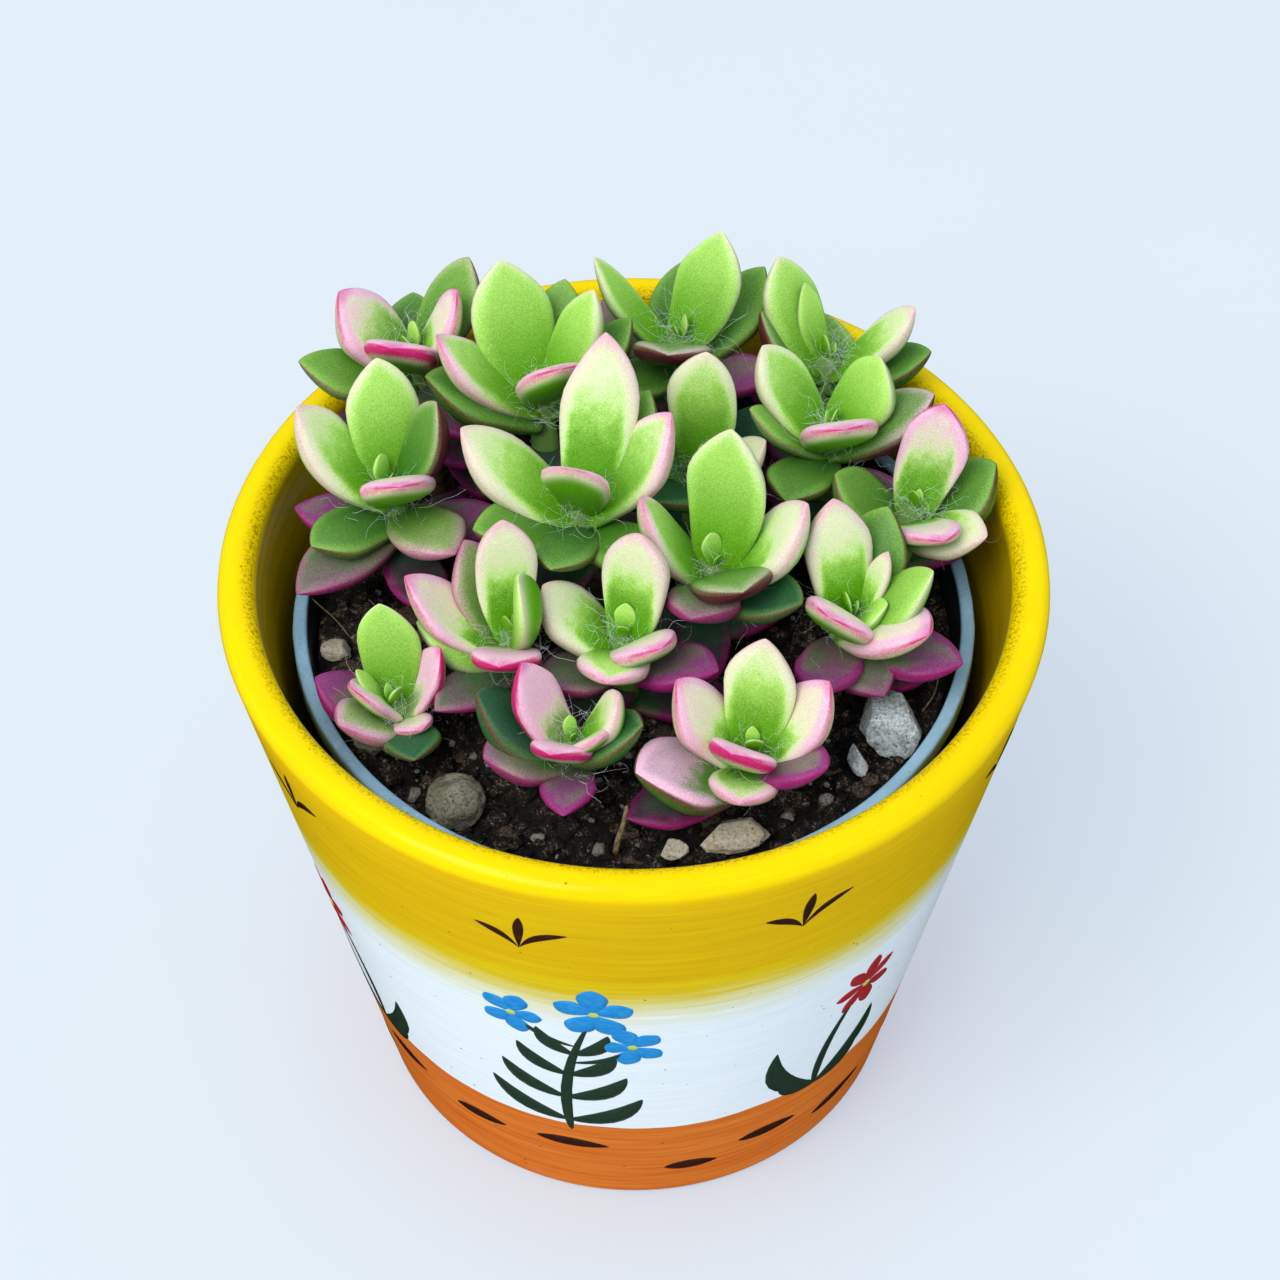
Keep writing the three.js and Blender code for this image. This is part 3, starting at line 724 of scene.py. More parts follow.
class SANDROSE_OT_painting(bpy.types.Operator):
    """Paint the motifs round the clay pot"""

    bl_idname = "sand_rose.painting"
    bl_label = "Painting"

    def execute(self, context):
        pot = context.scene.sand_rose.pot
        paint = context.scene.sand_rose.painting
        stems, blooms, stars, hearts, strokes = (bmesh.new() for _ in range(5))
        for turn, side in SPRIGS:
            Brush(pot, paint.thickness, turn).sprig(side, stems, blooms, hearts)
        for turn, side in STARS:
            Brush(pot, paint.thickness, turn).star_flower(side, stems, stars, hearts)
        fans_and_dashes(strokes, pot, paint.thickness, Random(SEED))
        for name, bm, rgb, lighter in (
            ("painted_sprigs", stems, paint.stem_green, linear(60, 84, 62)),
            ("painted_flowers", blooms, paint.bloom_blue, linear(76, 178, 232)),
            ("painted_stars", stars, paint.star_red, linear(206, 74, 70)),
            ("painted_hearts", hearts, paint.heart_yellow, linear(176, 186, 70)),
            ("painted_strokes", strokes, paint.stroke_brown, linear(92, 46, 32)),
        ):
            finished(name, bm, [brush_paint(name + "_paint", rgb, lighter)])
        return {"FINISHED"}


# Nursery pot

# Rows of faces up its wall, and faces round it
NURSERY_ROWS = 8
NURSERY_SIDES = 180
# The round of the rim's upper edges, and the slant at its foot
RIM_EDGE = 0.45 * MM
RIM_SLANT = 0.3 * MM
# The nicks stay this far above the rim's foot and this near its outside
NICK_FOOT = 0.2 * MM
NICK_SKIN = 0.6 * MM
# The rim's little nicks and waves: how many round it, and how deep as a share of its width
RIM_WAVES = [(7, 0.05), (19, 0.035), (53, 0.03)]
# Depths below the rim's top between which it is scuffed and painted with a highlight, and in from
# the outside where the painted shade of the inner wall starts
SCUFF_AND_HIGHLIGHT_DEPTHS = (0.9 * MM, 0.2 * MM)
INNER_SHADE_DEPTHS = (0.9 * MM, 1.3 * MM)
# The drain holes: how many, their radius and facets, and the radius of the ring they lie on
DRAINS = 4
DRAIN_RADIUS = 3 * MM
DRAIN_STEPS = 24
DRAIN_RING = 20 * MM


def nursery_inner_radius(nursery, height):
    """The inside radius of the nursery pot at a height"""
    foot, top = NURSERY_LOW.z, nursery.rim_top
    low, high = nursery.foot_radius - nursery.wall, nursery.rim_radius - nursery.rim_width
    return low + (high - low) * (height - foot) / (top - foot)


def nursery_profile(nursery):
    """The nursery pot's wall in section, from its foot up, over the rim and down to its floor"""
    foot, rim_foot = NURSERY_LOW.z, nursery.rim_top - nursery.rim_depth
    floor = foot + nursery.wall
    wall_foot = (nursery.foot_radius, foot)
    wall_top = (nursery_inner_radius(nursery, rim_foot) + nursery.wall, rim_foot)
    inner_floor = (nursery_inner_radius(nursery, floor), floor)
    edge, edge_height = RIM_EDGE, nursery.rim_top - RIM_EDGE
    outer = rounded(nursery.rim_radius - edge, edge_height, edge, 0, 90, 3)
    inner_rim = nursery_inner_radius(nursery, nursery.rim_top)
    inner = rounded(inner_rim + edge, edge_height, edge, 90, 180, 3)
    return [
        wall_foot, *straight(wall_foot, wall_top, NURSERY_ROWS), wall_top,
        (nursery.rim_radius, rim_foot + RIM_SLANT), *outer, *inner,
        *straight(inner[-1], inner_floor, NURSERY_ROWS), inner_floor,
    ]


def drained_floor(bm, nursery):
    """Closes the foot between its two open edges with a floor that has drain holes"""
    levels = []
    for height in (NURSERY_LOW.z, NURSERY_LOW.z + nursery.wall):
        border = [
            edge for edge in bm.edges
            if edge.is_boundary and abs(edge.verts[0].co.z - height) < WELD
        ]
        holes = []
        for i in range(DRAINS):
            turn = Matrix.Rotation(2 * math.pi * (i + 0.5) / DRAINS, 4, "Z")
            made = bmesh.ops.create_circle(
                bm, segments=DRAIN_STEPS, radius=DRAIN_RADIUS,
                matrix=turn @ Matrix.Translation((DRAIN_RING, 0, height)),
            )
            holes.append(list({edge for vert in made["verts"] for edge in vert.link_edges}))
        edges = border + sum(holes, [])
        bmesh.ops.triangle_fill(bm, use_beauty=True, edges=edges, normal=(0, 0, 1))
        for edge in edges:
            edge.smooth = False
        levels.append(holes)
    for low, high in zip(*levels):
        bmesh.ops.bridge_loops(bm, edges=low + high)
    bmesh.ops.recalc_face_normals(bm, faces=bm.faces)


def nick_rim(bm, nursery):
    """Wears little nicks and waves into the outside of the rim"""
    foot = nursery.rim_top - nursery.rim_depth + NICK_FOOT
    for vertex in bm.verts:
        x, y, z = vertex.co
        reach = math.hypot(x, y)
        if z > foot and reach > nursery.rim_radius - NICK_SKIN:
            angle = math.atan2(y, x)
            dent = sum(deep * (1 + math.sin(n * angle + n)) / 2 for n, deep in RIM_WAVES)
            shrink = 1 - dent * nursery.rim_width / reach
            vertex.co = Vector((x * shrink, y * shrink, z))


def moulded_plastic(nursery):
    """Thin grey blue plastic, scuffed pale with a painted highlight on its rim, its inner wall
    darkened as painted shade, and dusty with soil inside
    """
    finish = Finish("moulded_plastic")
    place = finish.place()
    x, y, z = finish.split(place)
    scuff = finish.cloud(finish.stretched(place, (1, 1, 2.5)), 0.8 * MM, 5, 0.65)
    patch = finish.cloud(place, 7 * MM, 3)
    # Dull plastic, pale scuffs and painted highlight for the rim, near-black painted shade for the
    # inner wall, and earthy dust
    dull, scuffed_highlight, dark, earthy = (
        linear(134, 168, 192), linear(196, 214, 226), linear(30, 38, 48), linear(58, 48, 40)
    )
    rim = z.ramp(*(nursery.rim_top - depth for depth in SCUFF_AND_HIGHLIGHT_DEPTHS))
    base = finish.blend((patch * 1.2 - 0.2).capped(), nursery.plastic, dull)
    base = finish.blend(scuff.ramp(0.52, 0.7) * rim * 0.55, base, scuffed_highlight)
    slope = (nursery.rim_radius - nursery.foot_radius) / (nursery.rim_top - NURSERY_LOW.z)
    outside = nursery.foot_radius + (z - NURSERY_LOW.z) * slope
    # Painted shade: the inner wall below the rim is near-black
    inner = (outside - off_axis(x, y)).ramp(*INNER_SHADE_DEPTHS) * (1 - rim)
    base = finish.blend(inner, base, dark)
    dust = finish.cells(place, 0.9 * MM).ramp(0.28, 0.12) * patch.ramp(0.45, 0.6)
    base = finish.blend(dust * (0.25 + inner * 0.5), base, earthy)
    finish.bump(scuff, 0.06 * MM, 0.5)
    return finish.paint(base, scuff * 0.3 + 0.3)


class SANDROSE_OT_nursery_pot(bpy.types.Operator):
    """Build the thin plastic pot inside the clay pot"""

    bl_idname = "sand_rose.nursery_pot"
    bl_label = "Nursery Pot"

    def execute(self, context):
        nursery = context.scene.sand_rose.nursery
        bm = bmesh.new()
        turned(bm, nursery_profile(nursery), NURSERY_SIDES, closed=False)
        drained_floor(bm, nursery)
        nick_rim(bm, nursery)
        finished("plastic_pot", bm, [moulded_plastic(nursery)], ["nursery_pot"])
        return {"FINISHED"}


# Soil

# Height of the soil's lumps, and its room to the nursery pot's wall
SOIL_LUMP = 0.9 * MM
SOIL_ROOM = 0.3 * MM
# The squares of its top from side to side, and how steeply the lumps die away at its edge
SOIL_SQUARES = 128
EDGE_FADE = 12
# The fine clods: their height in millimetres and how many there are to a millimetre
CLODS = ((0.9, 0.5), (0.6, 1.2))
# How far loose bits keep from the wall, and their least and greatest half sizes
STREWN_ROOM = 1.6 * MM
CRUMB_SIZES = (0.25 * MM, 1.15 * MM)
GRIT_SIZES = (0.22 * MM, 0.6 * MM)
BARK_SIZES = (0.7 * MM, 2.3 * MM)
# How flat the bits are, as the height's share of the width
CRUMB_FLATNESS = (0.6, 1.0)
BARK_FLATNESS = (0.16, 0.3)
GRIT_FLATNESS = (0.7, 0.9)
# A coarse bit is a ball of 20 faces, and a finer one has each of those divided in 4
COARSE = 1
FINER = 2
# Larger bits that show in front: place and half size in millimetres
LARGE_GRIT = [((-28, -27.8), 1.1), ((-12, -34.4), 1.0), ((-4.4, -36), 1.2), ((-25.4, -33.2), 0.9),
              ((24.5, -28.5), 0.9), ((-37.6, -10.5), 1.0), ((19.5, -31), 0.8)]
# A twig and fine roots, as points in millimetres
TWIG = [(-2.3, -37.1, 80.6), (-1.9, -36.2, 82.6), (-1.2, -34.9, 84.3), (-0.8, -33.7, 86.2)]
ROOTLETS = [
    [(-43, 3.1, 83.6), (-41.6, 1.9, 83.1), (-39.6, 0.5, 82.0), (-37.4, -2, 80.9)],
    [(37.4, -14.4, 80.8), (39.2, -12.2, 82.4), (39.8, -8.6, 84), (39.4, -5.4, 82.6)],
    [(-36.5, 6, 80.8), (-34.4, 2.4, 82.2), (-35.2, -1.6, 82), (-33.2, -4.4, 80.8)],
]
# Their radii at the start and at the end
TWIG_RADII = (0.42 * MM, 0.3 * MM)
ROOTLET_RADII = (0.13 * MM, 0.07 * MM)


def soil_height(soil, x, y):
    """The soil's height at a place: lumps of a few millimetres on its mean level"""
    a, b = x / MM, y / MM
    lumps = 0.5 * math.sin(0.33 * a + 1.1) * math.cos(0.29 * b - 0.4)
    lumps += 0.35 * math.sin(0.61 * a - 0.47 * b + 2) + 0.25 * math.cos(0.83 * a + 0.71 * b)
    return soil.top + SOIL_LUMP * lumps


def fine_lumps(x, y):
    """Clods and pits of a millimetre or less, around 0"""
    point = Vector((x, y, 0)) / MM
    return sum(height * noise.noise(point * fineness) for height, fineness in CLODS) * MM


def soil_bed(soil, nursery):
    """The body of soil: a lumpy disc on top, its edge drawn down to the nursery pot's floor"""
    bm = bmesh.new()
    rim = nursery_inner_radius(nursery, soil.top) - SOIL_ROOM
    bmesh.ops.create_grid(bm, x_segments=SOIL_SQUARES, y_segments=SOIL_SQUARES, size=1)
    for vertex in bm.verts:
        x, y, _ = vertex.co
        # A square of points becomes a disc, with its rings kept evenly spaced
        reach = max(abs(x), abs(y))
        scale = rim * reach / math.hypot(x, y) if reach > WELD else 0
        x, y = x * scale, y * scale
        fade = min(1, (1 - reach) * EDGE_FADE)
        height = soil_height(soil, x, y) * fade + soil.top * (1 - fade)
        vertex.co = Vector((x, y, height + fine_lumps(x, y) * fade))
    edge = [e for e in bm.edges if e.is_boundary]
    low = SOIL_LOW.z
    narrower = (nursery_inner_radius(nursery, low) - SOIL_ROOM) / rim
    for z, width in ((soil.top * 0.5 + low * 0.5, (1 + narrower) / 2), (low, narrower)):
        made = bmesh.ops.extrude_edge_only(bm, edges=edge)["geom"]
        for vertex in (g for g in made if isinstance(g, bmesh.types.BMVert)):
            reach = math.hypot(vertex.co.x, vertex.co.y)
            radius = rim * width
            vertex.co = Vector((vertex.co.x / reach * radius, vertex.co.y / reach * radius, z))
        edge = [g for g in made if isinstance(g, bmesh.types.BMEdge)]
    bmesh.ops.holes_fill(bm, edges=edge)
    bmesh.ops.recalc_face_normals(bm, faces=bm.faces)
    return bm


def scatter(bm, chance, number, sizes, reach, height_at, flat=CRUMB_FLATNESS):
    """Small rough lumps strewn over the soil"""
    for _ in range(number):
        away, angle = reach * math.sqrt(chance.random()), chance.uniform(0, 2 * math.pi)
        x, y = away * math.cos(angle), away * math.sin(angle)
        lump(bm, chance, (x, y, height_at(x, y)), chance.uniform(*sizes), flat, COARSE)


def lump(bm, chance, place, half, flat, detail):
    """One rough lump, pushed out of round"""
    part = bmesh.new()
    bmesh.ops.create_icosphere(part, subdivisions=detail, radius=half)
    for vertex in part.verts:
        vertex.co *= chance.uniform(0.7, 1.2)
    stretch = (chance.uniform(0.7, 1.3), chance.uniform(0.7, 1.3), chance.uniform(*flat))
    turn = Matrix.Rotation(chance.uniform(0, 2 * math.pi), 3, "Z")
    bmesh.ops.scale(part, verts=part.verts, vec=stretch)
    bmesh.ops.rotate(part, verts=part.verts, cent=(0, 0, 0), matrix=turn)
    bmesh.ops.translate(part, verts=part.verts, vec=place)
    add_part(bm, part)


def fibre(bm, points, thick, thin, sides=6, steps=6):
    """A thin stalk along smooth bends through a few points, in metres"""
    route = [Vector(p) for p in points]
    rings = steps * (len(route) - 1)

    def centre(along):
        spot = along * (len(route) - 1)
        i = min(int(spot), len(route) - 2)
        part = spot - i
        before, after = route[max(i - 1, 0)], route[min(i + 2, len(route) - 1)]
        start, end = route[i], route[i + 1]
        bend = (end - before) * 0.5 * (part - 2 * part**2 + part**3)
        bend += (after - start) * 0.5 * (part**3 - part**2)
        blend = 3 * part**2 - 2 * part**3
        return start * (1 - blend) + end * blend + bend

    def place(along, across, rise):
        along = math.acos(1 - 2 * min(1, max(0, along))) / math.pi
        ahead = (centre(min(1, along + 0.02)) - centre(max(0, along - 0.02))).normalized()
        side = ahead.cross(Vector((0.2, 0.3, 1))).normalized()
        radius = thick + (thin - thick) * along
        return centre(along) + (side * across + side.cross(ahead) * rise) * radius

    blob(bm, sides, rings, place)


def earth(soil):
    """Near-black crumbly potting soil"""
    finish = Finish("earth", roughness=0.95)
    place = finish.place()
    clod = finish.cloud(place, 2.4 * MM, 5, 0.65)
    grain = finish.cloud(place, 0.35 * MM, 4, 0.7)
    tone = clod * 0.5 + grain * 0.5
    damp, dusty, fleck = linear(27, 23, 20), linear(178, 166, 148), linear(150, 140, 124)
    stops = [(0.44, soil.dark), (0.53, damp), (0.59, soil.brown), (0.66, dusty)]
    flecked = finish.cloud(place, 3 * MM, 2).ramp(0.56, 0.62)
    flecks = finish.cells(place, 0.9 * MM).ramp(0.2, 0.1) * flecked
    base = finish.blend(flecks * 0.7, finish.stops(tone, stops), fleck)
    finish.bump(tone, 0.5 * MM, 0.9)
    return finish.paint(base)


def grit(name, light, dark, grain=0.3):
    """Dull mineral or wood, mottled between two tones"""
    finish = Finish(name, roughness=0.85)
    place = finish.place()
    tone = finish.cloud(place, grain * MM, 4, 0.65)
    finish.bump(tone, 0.12 * MM, 0.7)
    return finish.paint(finish.blend(tone.ramp(0.35, 0.65), dark, light))


class SANDROSE_OT_soil(bpy.types.Operator):
    """Build the soil and strew crumbs, grit, bark and twigs on it"""

    bl_idname = "sand_rose.soil"
    bl_label = "Soil"

    def execute(self, context):
        settings = context.scene.sand_rose
        soil, nursery = settings.soil, settings.nursery
        ground = earth(soil)
        finished("potting_soil", soil_bed(soil, nursery), [ground], ["soil"])
        reach = nursery_inner_radius(nursery, soil.top) - STREWN_ROOM
        chance = Random(SEED)

        def on_soil(x, y):
            return soil_height(soil, x, y) + fine_lumps(x, y) + chance.uniform(-0.2, 0.4) * MM

        crumbs = bmesh.new()
        scatter(crumbs, chance, soil.crumbs, CRUMB_SIZES, reach, on_soil)
        finished("soil_crumbs", crumbs, [ground], smooth=False)

        pale = bmesh.new()
        scatter(pale, chance, soil.grit, GRIT_SIZES, reach, on_soil)
        for (x, y), half in LARGE_GRIT:
            place = (x * MM, y * MM, on_soil(x * MM, y * MM) + 0.3 * half * MM)
            lump(pale, chance, place, half * MM, GRIT_FLATNESS, FINER)
        gravel = grit("pale_grit", soil.pale, linear(96, 90, 80))
        finished("soil_grit", pale, [gravel])

        bark = bmesh.new()
        scatter(bark, chance, soil.bark, BARK_SIZES, reach, on_soil, BARK_FLATNESS)
        brown_bark = grit("bark", soil.brown, linear(30, 23, 20))
        finished("bark_bits", bark, [brown_bark], smooth=False)

        twigs = bmesh.new()
        fibre(twigs, [Vector(p) * MM for p in TWIG], *TWIG_RADII, 8)
        for route in ROOTLETS:
            fibre(twigs, [Vector(p) * MM for p in route], *ROOTLET_RADII)
        bmesh.ops.recalc_face_normals(twigs, faces=twigs.faces)
        wood = grit("dry_wood", soil.wood, linear(96, 78, 54), 0.6)
        finished("twig_and_rootlets", twigs, [wood])
        return {"FINISHED"}


# Stones

# Place of the middle and half sizes in millimetres, turn in degrees, and colour
STONES = {
    "stone_round": ((-22.6, -29.7, 81.6), (4.1, 4, 3.4), 20, "grey"),
    "stone_pale": ((33.2, -17.7, 82.6), (4.3, 5.4, 4.2), 20, "pale"),
    "stone_chip": ((28.7, -23, 81.7), (1.4, 2.6, 1.5), 15, "white"),
    "stone_flat": ((12.6, -34.8, 82), (5, 3.2, 1.8), 18, "beige"),
    "stone_small": ((5, -37, 81.4), (2, 1.6, 1.2), 0, "beige"),
    "stone_left": ((-39.2, -4.2, 81.4), (2.3, 1.8, 1.5), 0, "beige"),
    "stone_grey": ((-34.2, -19.2, 81.4), (2.8, 2.1, 1.7), 120, "grey"),
}
# Splits, as a share of the way out from the middle and the split's direction
SPLITS = {
    "stone_flat": [(0.5, (0.2, 1, 0.55)), (0.62, (0.9, 0.25, 0.3)), (0.55, (-0.75, 0.7, 0.2)),
                   (0.5, (0, -0.25, 1)), (0.7, (-0.2, -1, 0.5))],
    "stone_pale": [(0.72, (-0.5, -0.9, 0.35)), (0.7, (0.95, -0.1, 0.4)), (0.74, (0, 0.2, 1)),
                   (0.76, (-0.9, 0.5, 0.3))],
    "stone_chip": [(0.5, (1, 0.3, 0.5)), (0.55, (-0.8, 0.5, 0.6)), (0.7, (0.1, -1, 0.7))],
    "stone_left": [(0.6, (-0.3, 0.4, 1)), (0.6, (1, 0.2, 0.4))],
    "stone_small": [(0.55, (0.2, -0.3, 1)), (0.6, (-1, 0.3, 0.2))],
}
# How finely a stone's ball is divided, and its fine grain's depth as a share of the stone
STONE_FINENESS = 5
STONE_GRAIN = 0.05


def stone_mesh(name, roughness):
    """A stone: a ball dented by broad and fine noise, split where it is broken, then sized"""
    at, half, turn, _ = STONES[name]
    bm = bmesh.new()
    bmesh.ops.create_icosphere(bm, subdivisions=STONE_FINENESS, radius=1)
    for vertex in bm.verts:
        x, y, z = vertex.co
        dent = math.sin(3.1 * x + 2.3 * y + half[0]) + math.cos(4.3 * y - 3.7 * z + half[1])
        fine = noise.fractal(vertex.co * 3.2 + Vector(at), 0.8, 2.1, 5)
        vertex.co *= 1 - abs(roughness * dent) + STONE_GRAIN * (fine - 0.4)
    for out, way in SPLITS.get(name, ()):
        normal = Vector(way).normalized()
        cut = bmesh.ops.bisect_plane(
            bm, geom=bm.verts[:] + bm.edges[:] + bm.faces[:], dist=WELD, plane_co=normal * out,
            plane_no=normal, clear_outer=True,
        )["geom_cut"]
        edges = [g for g in cut if isinstance(g, bmesh.types.BMEdge)]
        filled = bmesh.ops.triangle_fill(bm, edges=edges, use_beauty=True)["geom"]
        faces = [g for g in filled if isinstance(g, bmesh.types.BMFace)]
        bmesh.ops.subdivide_edges(
            bm, edges=list({e for face in faces for e in face.edges} - set(edges)), cuts=2
        )
    bmesh.ops.recalc_face_normals(bm, faces=bm.faces)
    bmesh.ops.scale(bm, verts=bm.verts, vec=Vector(half) * MM)
    spun = Matrix.Rotation(math.radians(turn), 3, "Z")
    bmesh.ops.rotate(bm, verts=bm.verts, cent=(0, 0, 0), matrix=spun)
    bmesh.ops.translate(bm, verts=bm.verts, vec=Vector(at) * MM)
    return bm


def weathered_stone(name, rgb, shadow, stain):
    """Rough stone with dark pits, grains and a greenish stain"""
    finish = Finish(name, roughness=0.88)
    place = finish.place()
    grain = finish.cloud(place, 0.45 * MM, 5, 0.7)
    broad = finish.cloud(place, 2.6 * MM, 3, 0.55)
    base = finish.blend(grain.ramp(0.3, 0.62), shadow, rgb)
    base = finish.blend(broad.ramp(0.5, 0.72) * 0.55, base, stain)
    pits = finish.cells(place, 0.8 * MM).ramp(0.2, 0.08) * grain.ramp(0.62, 0.42)
    pit = linear(34, 32, 28)
    base = finish.blend(pits * 0.85, base, pit)
    finish.bump(grain * 0.6 + broad * 0.4 - pits * 0.5, 0.4 * MM, 0.8)
    return finish.paint(base)


class SANDROSE_OT_stones(bpy.types.Operator):
    """Build the stones that lie on the soil"""

    bl_idname = "sand_rose.stones"
    bl_label = "Stones"

    def execute(self, context):
        stones = context.scene.sand_rose.stones
        # Each stone's own colour, that of its shaded grains and that of its stain
        tones = {
            "grey": (stones.grey, linear(78, 75, 64), linear(100, 98, 66)),
            "pale": (stones.pale, linear(128, 138, 140), linear(88, 98, 74)),
            "white": (stones.white, linear(150, 156, 156), linear(170, 166, 150)),
            "beige": (stones.beige, linear(160, 148, 126), linear(176, 158, 124)),
        }
        rocks = {tone: weathered_stone(tone + "_stone", *tones[tone]) for tone in tones}
        for name, (*_, tone) in STONES.items():
            bm = stone_mesh(name, stones.roughness)
            finished(name + "_rock", bm, [rocks[tone]], [name])
        return {"FINISHED"}


# Leaves

# How a leaf looks: how dark its green is, how far cream has spread, how much pink has, how far
# wine has taken over, how tinted the under side is, and which side edge has more cream
LOOKS = {
    "fresh": (0.10, 0.00, 0.0, 0.0, 0.1, 0.0),
    "lime": (0.24, 0.42, 0.12, 0.0, 0.2, 0.0),
    "mint": (0.38, 0.12, 0.05, 0.0, 0.2, 0.0),
    "olive": (0.36, 0.62, 0.18, 0.0, 0.4, 0.3),
    "pale": (0.28, 0.82, 0.30, 0.0, 0.5, 0.0),
    "cream": (0.32, 0.98, 0.42, 0.0, 0.5, 0.0),
    "tipped": (0.32, 0.90, 0.95, 0.0, 0.6, 0.35),
    "rosy": (0.30, 1.55, 0.90, 0.0, 0.65, 0.0),
    "pink": (0.34, 1.60, 1.25, 0.0, 1.3, 0.0),
    "blushed": (0.40, 0.55, 0.60, 0.0, 0.7, 0.0),
    "half": (0.72, 1.15, 0.85, 0.0, 0.4, -1.4),
    "dark": (0.74, 0.00, 0.10, 0.0, 0.35, 0.0),
    "teal": (0.99, 0.03, 0.12, 0.0, 0.3, 0.0),
    "brown": (0.70, 0.22, 0.40, 0.0, 1.8, 0.0),
    "grey": (0.62, 0.42, 0.60, 0.3, 0.8, 0.0),
    "dusk": (0.86, 0.05, 0.55, 0.5, 0.9, 0.0),
    "purple": (0.80, 0.12, 0.75, 1.0, 1.0, 0.0),
    "old": (1.00, 0.00, 0.40, 0.9, 1.0, 0.0),
}

